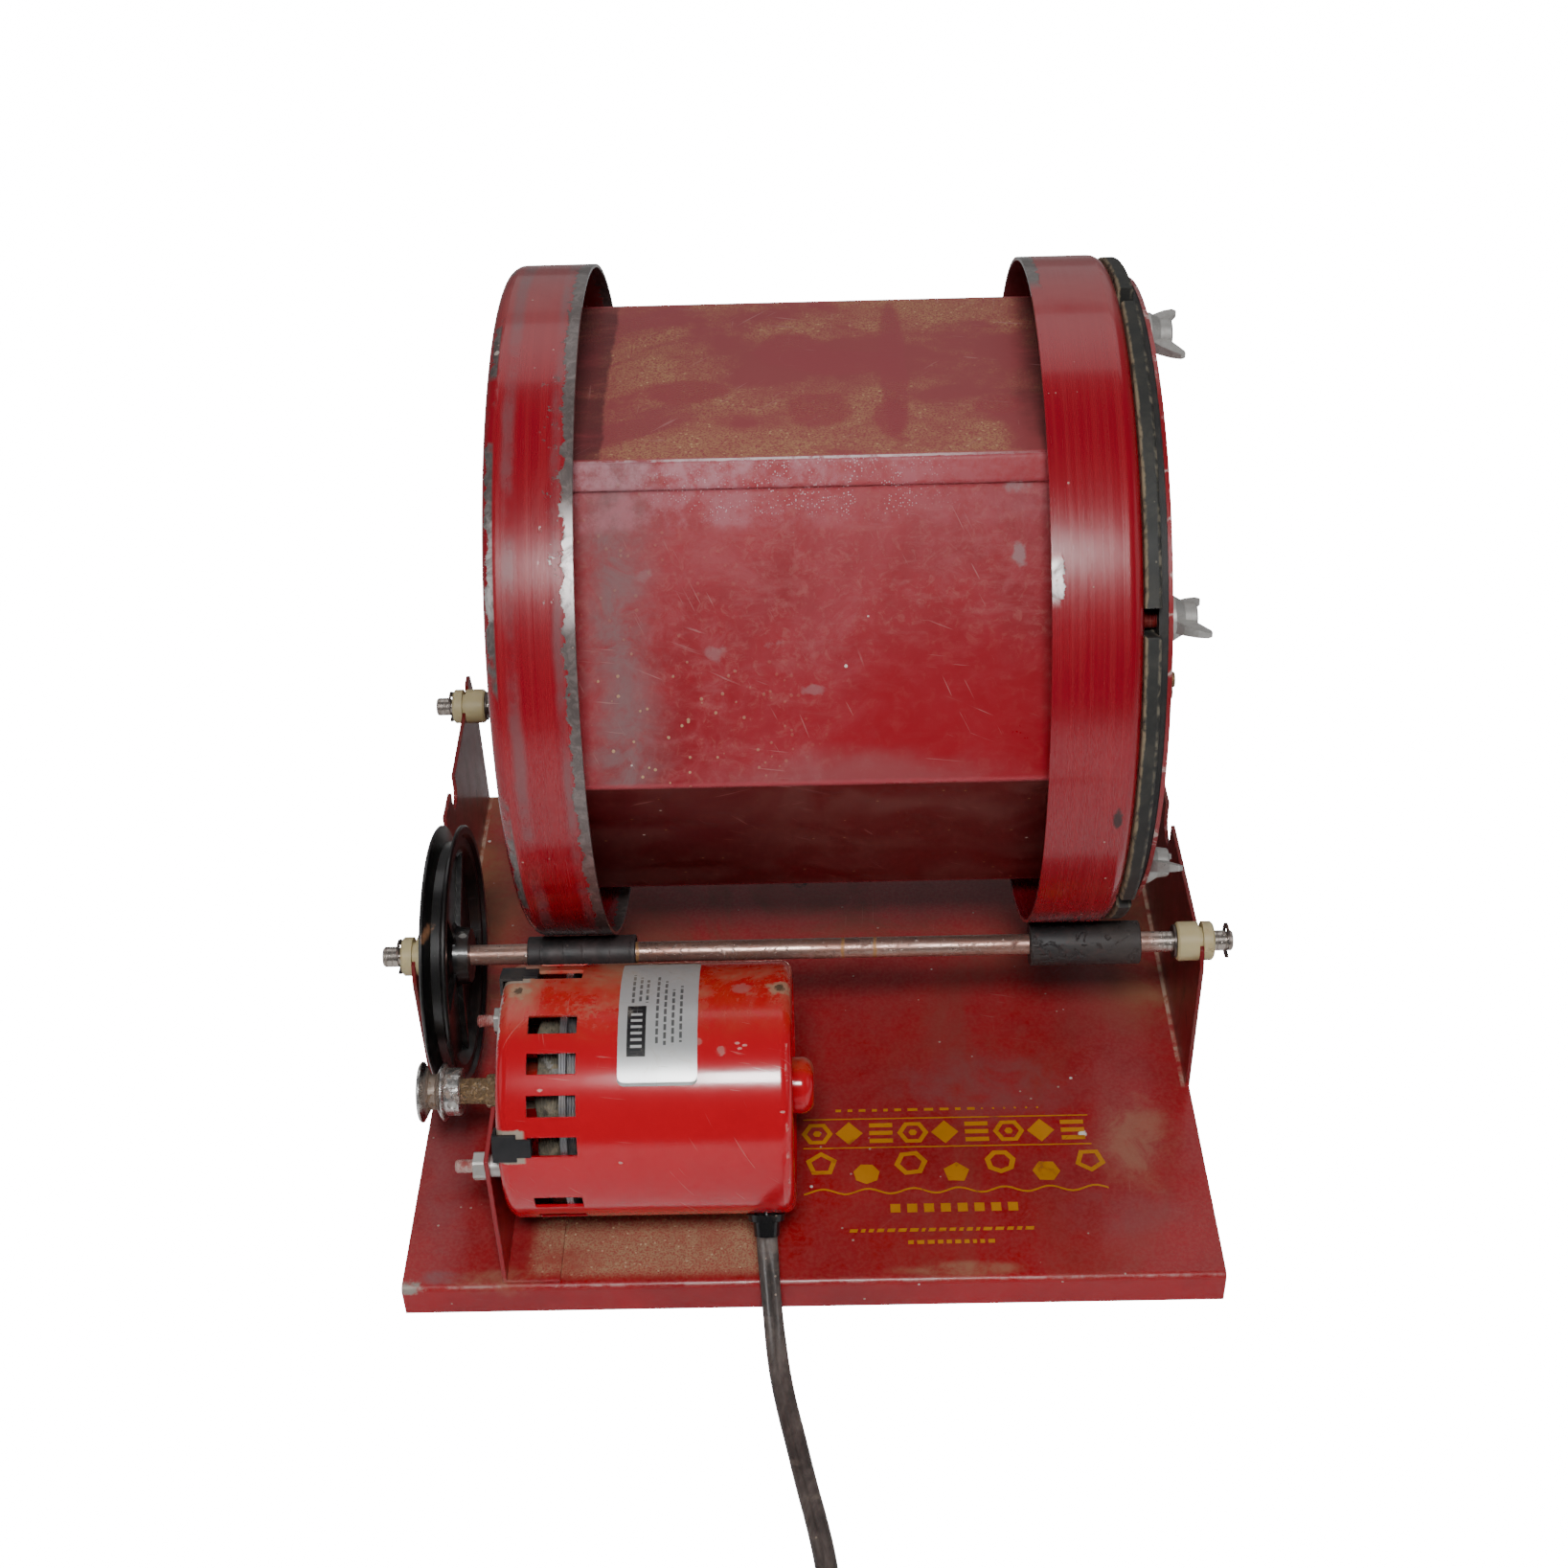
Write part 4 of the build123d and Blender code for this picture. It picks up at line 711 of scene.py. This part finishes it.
def sleeve_rubber():
    """Black tape on the left ends and thick rubber tube on the right ones."""
    sh = rubber("sleeve_rubber", (0.02, 0.019, 0.02), 0.5, (0.055, 0.046, 0.042), 0.5)
    x = sh.split()[0]
    tube = sh.ramp(x, 0.0, 0.01)
    tape = sh.fall(x, 0.0, 0.01)
    sh.over((tape, sh.cloud(0.34, 0.62, 60), 0.7), (0.065, 0.04, 0.04), 0.5)
    sh.patches(((0.4, 0.66, 26), 0.6, (0.06, 0.042, 0.036), 0.66),
               ((0.58, 0.7, 120), 0.7, (0.085, 0.03, 0.026), 0.7), on=tube)
    dents = sh.cloud(0.54, 0.66, 210, 4, 0.6)
    sh.height = sh.minus(sh.height, sh.times(dents, tube, 0.8))
    return sh.done(0.0006, 0.8)


def liner_rubber():
    """Dark rubber flange with a beige line of dried grit along its outer edge."""
    sh = rubber("liner_rubber", (0.02, 0.021, 0.019), 0.4, (0.075, 0.068, 0.054))
    x = sh.split()[0]
    edge = sh.fall(sh.plus(x, sh.wave(0.0024, 120, 6, 0.7)), 0.1152, 0.116)
    sh.over((edge, sh.cloud(0.3, 0.55, 190), 0.85), (0.26, 0.2, 0.125), 0.85, height=0.6)
    sh.over((sh.ramp(x, 0.1188, 0.1196), sh.cloud(0.44, 0.62, 170), 0.6), (0.22, 0.19, 0.14), 0.8)
    return sh.done(0.0005, 0.7)


def nylon():
    sh = Finish("nylon", (0.6, 0.5, 0.27), 0.36, tone=0.12, grain=200.0)
    sh.patches(((0.42, 0.7, 70), 0.65, (0.5, 0.44, 0.24), 0.5),
               ((0.62, 0.74, 190), 0.8, (0.2, 0.12, 0.07), 0.6))
    sh.bsdf.inputs["Subsurface Weight"].default_value = 0.25
    sh.bsdf.inputs["Subsurface Radius"].default_value = (0.004, 0.003, 0.002)
    return sh.done(0.0003, 0.4)


def foil_label():
    """Silver label: a dark block and rules stand where the maker's print was."""
    sh = Finish("foil_label", (0.66, 0.67, 0.67), 0.3, 0.45, 0.06, 600.0)
    x, angle, _ = sh.round_about(MOTOR)
    down = sh.times(sh.minus(LABEL_TOP, angle), MOTOR_R)
    across = sh.minus(x, LABEL_LEFT)
    ink = sh.times(sh.between(across, 0.0032, 0.0098, 0.0001), sh.between(down, 0.03, 0.05, 0.0001))
    bars = sh.between(sh.math("FRACT", sh.times(down, 400.0)), 0.3, 0.72, 0.06)
    inner = sh.times(sh.between(across, 0.0045, 0.0085, 0.0001),
                     sh.between(down, 0.0318, 0.0482, 0.0001), bars)
    ink = sh.math("SUBTRACT", ink, inner, True)
    for left, top, bottom in (
            (0.0044, 0.012, 0.0285), (0.007, 0.014, 0.0285), (0.0094, 0.016, 0.0285),
            (0.0132, 0.014, 0.046), (0.016, 0.017, 0.046), (0.0188, 0.022, 0.046),
            (0.0216, 0.02, 0.045)):
        words = sh.math("FRACT", sh.plus(sh.times(down, 310.0), left * 900))
        rule = sh.times(sh.between(across, left, left + 0.001, 0.0001),
                        sh.between(down, top, bottom, 0.0001), sh.between(words, 0.16, 0.92, 0.05))
        ink = sh.math("MAXIMUM", ink, sh.times(rule, 0.85))
    sh.over(ink, (0.012, 0.012, 0.014), 0.4, 0.0)
    dusty = sh.fall(down, 0.004, 0.026)
    sh.over((dusty, sh.cloud(0.28, 0.6, 46), 0.8), (0.42, 0.36, 0.29), 0.7, 0.0)
    sh.over((sh.cloud(0.55, 0.72, 90), 0.5), (0.45, 0.4, 0.34), 0.6, 0.1)
    sh.over((sh.scratches(20, 0.02), 0.5), (0.4, 0.39, 0.38), 0.4)
    return sh.done(0.0002, 0.4)


def windings():
    sh = Finish("windings", (0.13, 0.115, 0.085), 0.6, 0.0, 0.4, 600.0)
    sh.patches(((0.4, 0.62, 120), 0.8, (0.27, 0.225, 0.155), 0.85),
               ((0.52, 0.64, 200), 0.8, (0.05, 0.04, 0.03), 0.8),
               ((0.6, 0.68, 90), 0.8, (0.3, 0.3, 0.29), 0.5))
    return sh.done(0.0006, 0.9)


def laminations():
    sh = metal("laminations", (0.27, 0.27, 0.28), 0.45, 0.6, (0.24, 0.2, 0.16))
    x = sh.split()[0]
    sh.ripple(x, 0.001, 0.4)
    return sh.done(0.0003, 0.7)


def cord_jacket():
    """Worn flexible cord, brown-black with beige dust rubbed into it."""
    sh = Finish("cord_jacket", (0.055, 0.045, 0.042), 0.42, tone=0.4, grain=260.0)
    rubbed = sh.streaks(0.36, 0.68, (90, 34, 90), 7, 0.68, 0.5)
    sh.over((rubbed, 0.8), (0.165, 0.13, 0.115), 0.6)
    sh.patches(((0.52, 0.74, 46, 7, 0.7), 0.7, (0.21, 0.165, 0.135), 0.7),
               ((0.58, 0.72, 30), 0.8, (0.018, 0.015, 0.015), 0.35))
    sh.over(sh.specks(300, 0.1, 0.06), (0.3, 0.24, 0.19), 0.8)
    return sh.done(0.0003, 0.6)


def black_part(name, color, rough, dust):
    sh = Finish(name, color, rough, tone=0.3)
    sh.patches(((0.46, 0.72, 90), dust, (0.1, 0.08, 0.062), 0.7))
    sh.over((sh.specks(400, 0.14, 0.05), 0.8), (0.26, 0.2, 0.15), 0.7)
    return sh.done(0.0003, 0.5)


def cast_zinc():
    sh = Finish("cast_zinc", (0.54, 0.53, 0.51), 0.46, 0.75, 0.18, 900.0)
    sh.patches(((0.42, 0.66, 260, 6, 0.7), 0.6, (0.36, 0.34, 0.32), 0.6, 0.5),
               ((0.62, 0.72, 420), 0.7, (0.13, 0.1, 0.08), 0.7, 0.1),
               ((0.64, 0.72, 180), 0.6, (0.3, 0.03, 0.03), 0.5, 0.0))
    return sh.done(0.0004, 0.8)


def gold_ink():
    sh = Finish("gold_ink", (0.62, 0.25, 0.01), 0.42, tone=0.25)
    sh.over((sh.cloud(0.55, 0.7, 60), 0.75), (0.24, 0.04, 0.02), 0.5)
    sh.over((sh.scratches(14, 0.02), 0.7), (0.3, 0.03, 0.02), 0.5)
    return sh.done(0.0002, 0.4)


FINISHES = {make.__name__: make for make in (
    red_paint_frame, red_paint_motor, red_paint_barrel, red_paint_pan, red_paint_lid,
    red_paint_bolts, red_paint_studs, shaft_steel, rusty_steel, pulley_zinc, black_pulley,
    sleeve_rubber, liner_rubber, nylon, foil_label, windings, laminations, cord_jacket,
    cast_zinc, gold_ink)}
METALS = {
    "zinc": ((0.6, 0.59, 0.56), 0.42, 0.35, (0.4, 0.3, 0.22), 0.7),
    "bronze": ((0.4, 0.26, 0.13), 0.4, 0.6),
    "plug_brass": ((0.66, 0.58, 0.38), 0.25, 0.3),
    "spring_steel": ((0.16, 0.14, 0.13), 0.35, 0.5),
}
BLACKS = {
    "black_steel": ((0.016, 0.016, 0.019), 0.5, 0.35),
    "black_plastic": ((0.01, 0.01, 0.011), 0.16, 0.3),
}
GASKET = ((0.017, 0.017, 0.017), 0.35, (0.07, 0.06, 0.05))
_made = {}


def finish(slot):
    """The material of a slot, made when it is first asked for."""
    if slot not in _made:
        if slot in METALS:
            _made[slot] = metal(slot, *METALS[slot]).done()
        elif slot in BLACKS:
            _made[slot] = black_part(slot, *BLACKS[slot])
        elif slot == "gasket_rubber":
            _made[slot] = rubber(slot, *GASKET).done()
        else:
            _made[slot] = FINISHES[slot]()
    return _made[slot]


# ---- cord ----

CORD_WIDTH = 7.8 * MM
CORD_THICK = 4.4 * MM
COIL_X, COIL_Y = 50.0, -182.0        # from the lip
COIL_TURNS = 5.25
COIL_STEPS = 84
COIL_OUTER, COIL_INNER = 57.0, 33.0


def cord_points():
    """From the grommet over the lip to a coil that lies on the floor, and on to the plug."""
    nose = on_drum(MOTOR, -16.4 * MM, MOTOR_R + 8.6 * MM, radians(-48))
    low, edge = 2.4, 4.1        # heights of the middle where the cord lies flat and on edge
    lead = [nose] + [from_lip(*p) for p in (
        (-15.9, -1.0, 24.0), (-15.0, -10.5, 15.6), (-13.9, -21.0, 8.6), (-12.4, -33.0, 4.4),
        (-9.9, -46.0, low), (-6.6, -61.0, low), (-3.6, -76.0, low), (0.4, -93.0, low),
        (3.7, -111.0, low + 0.5), (4.6, -130.0, low + 1.6), (-0.6, -150.0, edge + 0.1),
        (COIL_X - COIL_OUTER - 1.6, COIL_Y + 14.0, edge),
    )]
    turns = []
    for step in range(COIL_STEPS + 1):
        share = step / COIL_STEPS
        angle = pi + 2 * pi * COIL_TURNS * share
        radius = COIL_OUTER + (COIL_INNER - COIL_OUTER) * share
        radius *= 1.0 + 0.03 * cos(2 * angle + 0.8)
        height = edge + 0.5 * sin(5 * angle + 9 * share) ** 2
        turns.append(from_lip(COIL_X + radius * cos(angle), COIL_Y + radius * sin(angle), height))
    tail = [from_lip(*p) for p in (
        (COIL_X + 9.0, COIL_Y - 34.6, 6.4), (COIL_X + 19.0, COIL_Y - 38.0, 10.0),
        (COIL_X + 30.0, COIL_Y - 44.5, 11.4), (COIL_X + 40.0, COIL_Y - 51.5, 11.2),
        (COIL_X + 48.0, COIL_Y - 57.0, 8.4), (COIL_X + 55.0, COIL_Y - 60.4, 6.5),
    )]
    return lead + turns + tail


def nurbs_line(points):
    """Points read from the smooth spline that has these points as its control points."""
    curve = bpy.data.curves.new("route", "CURVE")
    curve.dimensions = "3D"
    curve.resolution_u = 8
    spline = curve.splines.new("NURBS")
    spline.points.add(len(points) - 1)
    for spot, point in zip(spline.points, points):
        spot.co = (*point, 1.0)
    spline.order_u = 3
    spline.use_endpoint_u = True
    holder = linked("route", curve)
    bpy.context.view_layer.update()
    made = holder.evaluated_get(bpy.context.evaluated_depsgraph_get())
    mesh = bpy.data.meshes.new_from_object(made)
    closest = 0.4 * MM
    line = []
    for vertex in mesh.vertices:
        if not line or (vertex.co - line[-1]).length > closest:
            line.append(vertex.co.copy())
    bpy.data.objects.remove(holder)
    bpy.data.curves.remove(curve)
    return line


def twin_section(width, thick, steps=28):
    """Outline of a flat twin cord: two round cores joined by a thin web."""
    radius = thick / 2
    offset = (width - thick) / 2
    outline = []
    for k in range(steps):
        angle = 2 * pi * k / steps
        x = cos(angle) * (offset + radius)
        inside = max(0.0, radius**2 - (abs(x) - offset) ** 2) if abs(x) > offset else radius**2
        waist = 1.0 - 0.34 * exp(-(x / (0.32 * offset)) ** 2)
        y = copysign(sqrt(inside), sin(angle)) * waist
        outline.append((x, y))
    return outline


def smooth(value, low, high):
    """0 below low, 1 above high."""
    share = min(1.0, max(0.0, (value - low) / (high - low)))
    return share * share * (3 - 2 * share)


def finish_mesh(name, bm, flat=False):
    """Turns a bmesh into an object with its faces looking outward."""
    bmesh.ops.recalc_face_normals(bm, faces=bm.faces)
    mesh = bpy.data.meshes.new(name)
    bm.to_mesh(mesh)
    bm.free()
    for polygon in mesh.polygons:
        polygon.use_smooth = not flat
    return linked(name, mesh)


def lofted(name, rings, closed=False, caps=True):
    """A skin over rings of points. closed joins the last ring to the first."""
    bm = bmesh.new()
    made = [[bm.verts.new(point) for point in ring] for ring in rings]
    pairs = list(zip(made, made[1:])) + ([(made[-1], made[0])] if closed else [])
    for one, two in pairs:
        for k in range(len(one)):
            after = (k + 1) % len(one)
            bm.faces.new((one[k], one[after], two[after], two[k]))
    if caps and not closed:
        bm.faces.new(list(reversed(made[0])))
        bm.faces.new(made[-1])
    return finish_mesh(name, bm)


def dress(piece, slot, body, *nodes):
    """Gives a piece its finish and its body, and the CAD nodes that it stands for."""
    piece.data.materials.append(finish(slot))
    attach(piece, body)
    if nodes:
        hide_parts(*nodes)


def make_cord():
    line = nurbs_line(cord_points())
    outline = twin_section(CORD_WIDTH, CORD_THICK)
    centre = from_lip(COIL_X, COIL_Y, 0)
    rings = []
    travelled = 0.0
    for k, point in enumerate(line):
        before, after = line[max(k - 1, 0)], line[min(k + 1, len(line) - 1)]
        along = (after - before).normalized()
        travelled += (point - before).length
        outward = Vector((point.x - centre.x, point.y - centre.y, 0))
        on_edge = smooth(-outward.length, -0.088, -0.06) * smooth(-point.z, -0.0095, -0.0058)
        sway = 0.55 * sin(travelled * 70) * smooth(-travelled, -0.11, -0.01)
        flat = Vector((0.1 + sway, -0.12, 1.0))
        lean = Vector((sway, -0.75, 0.66))
        thin = lean.lerp(flat, smooth(travelled, 0.0, 0.05)).lerp(outward.normalized(), on_edge)
        thin = (thin - thin.dot(along) * along).normalized()
        wide = along.cross(thin)
        rings.append([point + wide * x + thin * y for x, y in outline])
    piece = lofted("power_cord_flex", rings)
    dress(piece, "cord_jacket", "root", "power_cord", "cord_coil", "cord_tail")


# ---- pieces finer than the CAD ones ----

def make_tape_sleeve(name, body, axis, node):
    """Black tape wound on the shaft: overlapping wraps, a loose edge and soft lumps."""
    rng = random.Random(sum(map(ord, name)))
    low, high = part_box(node)
    full = half_height(node)
    end_radius = 6.35 * MM      # the inner edge of the end rings
    edges = [low[0]]
    while edges[-1] < high[0] - 0.007:
        edges.append(edges[-1] + rng.uniform(0.0065, 0.0105))
    lumps = [(rng.uniform(low[0], high[0]), rng.uniform(0, 2 * pi), rng.uniform(0.4, 1.0))
             for _ in range(9)]
    rings = []
    steps, around = 150, 56
    for k in range(steps + 1):
        x = low[0] + (high[0] - low[0]) * k / steps
        ring = []
        for j in range(around):
            angle = 2 * pi * j / around
            slant = x + 0.0016 * sin(angle + 0.6)
            since = min((slant - e for e in edges if slant >= e), default=0.0)
            radius = full - 0.00016 - 0.00022 * smooth(since, 0.0, 0.0007)
            radius += 0.0001 * smooth(since, 0.004, 0.01)
            for lump_x, lump_angle, size in lumps:
                off = ((x - lump_x) / 0.0022) ** 2 + (2 * sin((angle - lump_angle) / 2) / 0.7) ** 2
                radius += 0.00018 * size * exp(-off)
            radius = min(radius, full)
            if k in (0, steps):
                radius -= 0.0003
            ring.append(on_drum(axis, x, radius, angle))
        rings.append(ring)
    share = end_radius / full
    first, last = [
        [Vector((p.x, axis.y + (p.y - axis.y) * share, axis.z + (p.z - axis.z) * share)) for p in ring]
        for ring in (rings[0], rings[-1])]
    piece = lofted(name, [first] + rings + [last], caps=False)
    dress(piece, "sleeve_rubber", body, node)


def make_windings():
    """Two bundles of varnished wire: eight bulging coils, strands showing on their outsides."""
    low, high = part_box("motor_windings")
    stack_low, stack_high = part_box("motor_stator")
    around, section = 192, 96
    middle = 0.0285         # the radius that a bundle's section turns about
    for name, x0, x1 in (("winding_left", low[0], stack_low[0]),
                         ("winding_right", stack_high[0], high[0])):
        centre_x, half_x = (x0 + x1) / 2, (x1 - x0) / 2
        rings = []
        for j in range(around):
            angle = 2 * pi * j / around
            bulge = 0.5 + 0.5 * cos(8 * angle + 0.5)
            ring = []
            for i in range(section):
                turn = 2 * pi * i / section
                strand = abs(sin(13 * turn + 3 * sin(4 * angle)))
                wide = 0.00395 + 0.00045 * strand + 0.0009 * (bulge - 1) * max(0, cos(turn))
                deep = (half_x - 0.0005) - 0.0004 * (1 - strand) - 0.0011 * (1 - bulge)
                x = centre_x + deep * sin(turn)
                ring.append(on_drum(MOTOR, x, middle + wide * cos(turn), angle))
            rings.append(ring)
        dress(lofted(name, rings, closed=True), "windings", "root", "motor_windings")


def make_label():
    """The foil with its rounded corners, over the top of the shell and down the front."""
    low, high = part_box("motor_nameplate")
    first, last = radians(46.9), LABEL_TOP
    corner, steps = 2.4 * MM, 44
    across = [low[0]]
    for k in range(1, 9):
        across.append(low[0] + corner * (1 - cos(pi / 2 * k / 8)))
    across += [high[0] - (x - low[0]) for x in reversed(across)]
    rings = []
    for x in across:
        into = min(x - low[0], high[0] - x, corner)
        cut = (corner - sqrt(max(0.0, corner**2 - (corner - into) ** 2))) / MOTOR_R
        arc = [first + cut + (last - first - 2 * cut) * j / steps for j in range(steps + 1)]
        rings.append([on_drum(MOTOR, x, MOTOR_R + 0.25 * MM, a) for a in arc]
                     + [on_drum(MOTOR, x, MOTOR_R + 0.02 * MM, a) for a in reversed(arc)])
    piece = lofted("motor_label_foil", rings)
    for polygon in piece.data.polygons:
        polygon.use_smooth = len(polygon.vertices) == 4
    dress(piece, "foil_label", "root", "motor_nameplate")


def make_ornament():
    """Gold print on the deck: rules, dots and a row of tumbling pebbles, with no lettering."""
    rng = random.Random(4)
    bm = bmesh.new()
    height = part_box("motor_bracket")[0][2] / MM + 0.04

    def shape(points):
        bm.faces.new([bm.verts.new(from_lip(x, y, height)) for x, y in points])

    def bar(x0, x1, y0, y1, lean=0.0):
        shape([(x0, y0), (x1, y0), (x1 + lean, y1), (x0 + lean, y1)])

    def polygon(cx, cy, radius, sides, turn, squash=1.0):
        shape([(cx + radius * cos(turn + 2 * pi * k / sides),
                cy + squash * radius * sin(turn + 2 * pi * k / sides)) for k in range(sides)])

    def frame_of(cx, cy, radius, sides, turn, wall):
        for k in range(sides):
            corners = []
            for angle, size in ((k, radius), (k + 1, radius), (k + 1, radius - wall), (k, radius - wall)):
                a = turn + 2 * pi * angle / sides
                corners.append((cx + size * cos(a), cy + size * sin(a)))
            shape(corners)

    def broken_rule(x, end, y0, y1, widths, gap, lean=0.0):
        while x < end:
            width = rng.uniform(*widths)
            bar(x, x + width, y0, y1, lean)
            x += width + gap

    # thin broken rule, ending in dots
    broken_rule(10.0, 66, 84.6, 86.0, (1.6, 4.2), 2.6)
    for k in range(6):
        polygon(68.5 + 4.4 * k, 85.3, 0.5, 8, 0)
    # bold band: blocks, diamonds and open hexagons between two fine lines
    bar(-3, 110, 80.4, 81.0)
    bar(-3, 110, 65.2, 65.8)
    for k in range(9):
        cx = 2.5 + 12.6 * k
        if k % 3 == 0:
            frame_of(cx, 73.1, 6.2, 6, 0.0, 2.1)
            polygon(cx, 73.1, 1.7, 6, 0.0)
        elif k % 3 == 1:
            polygon(cx, 73.1, 5.4, 4, 0.0, 1.12)
        else:
            for j in (-1, 0, 1):
                bar(cx - 4.6, cx + 4.6, 72.0 + 4.1 * j, 74.2 + 4.1 * j)
    # tumbling pebbles over a waved line
    pebbles = ((5, 6.4), (7, 5.2), (6, 6.6), (5, 5.2), (7, 6.2), (6, 5.4), (5, 6.2))
    for k, (sides, radius) in enumerate(pebbles):
        cx, cy = 4.0 + 17.4 * k, 54.6 + 2.6 * (-1) ** k
        turn = rng.uniform(0, 1.2)
        if k % 2:
            polygon(cx, cy, radius, sides, turn)
        else:
            frame_of(cx, cy, radius, sides, turn, 2.3)
    last = None
    for k in range(61):
        x = -3 + 1.95 * k
        here = (x, 43.6 + 1.3 * sin(x * 0.36))
        if last:
            shape([last, here, (here[0], here[1] - 0.9), (last[0], last[1] - 0.9)])
        last = here
    # small squares, and two fine rules below them
    for k in range(8):
        cx = 30.0 + 6.4 * k
        bar(cx, cx + 3.8, 32.4, 36.6)
    broken_rule(14.0, 84, 23.0, 24.6, (1.2, 3.4), 1.3, 0.5)
    broken_rule(36.0, 68, 17.0, 18.8, (1.2, 2.8), 1.3)
    piece = finish_mesh("deck_ornament", bm, flat=True)
    for polygon_face in piece.data.polygons:
        if polygon_face.normal.z < 0:
            polygon_face.flip()
    dress(piece, "red_paint_frame", "root")
    piece.data.materials.clear()
    piece.data.materials.append(finish("gold_ink"))


# ---- everything gets its finish ----

OTHER = {"lid_disc": "red_paint_lid", "lid_studs": "red_paint_studs"}

for subpart in frame["record"]["subparts"]:
    node = frame["nodes"][subpart["node"]]
    node.data.materials.clear()
    node.data.materials.append(finish(OTHER.get(subpart["node"], subpart["material_slot"])))

make_cord()
make_tape_sleeve("drive_tape", "drive", DRIVE, "drive_sleeve_left")
make_tape_sleeve("idler_tape", "idler", IDLER, "idler_sleeve_left")
make_windings()
make_label()
make_ornament()
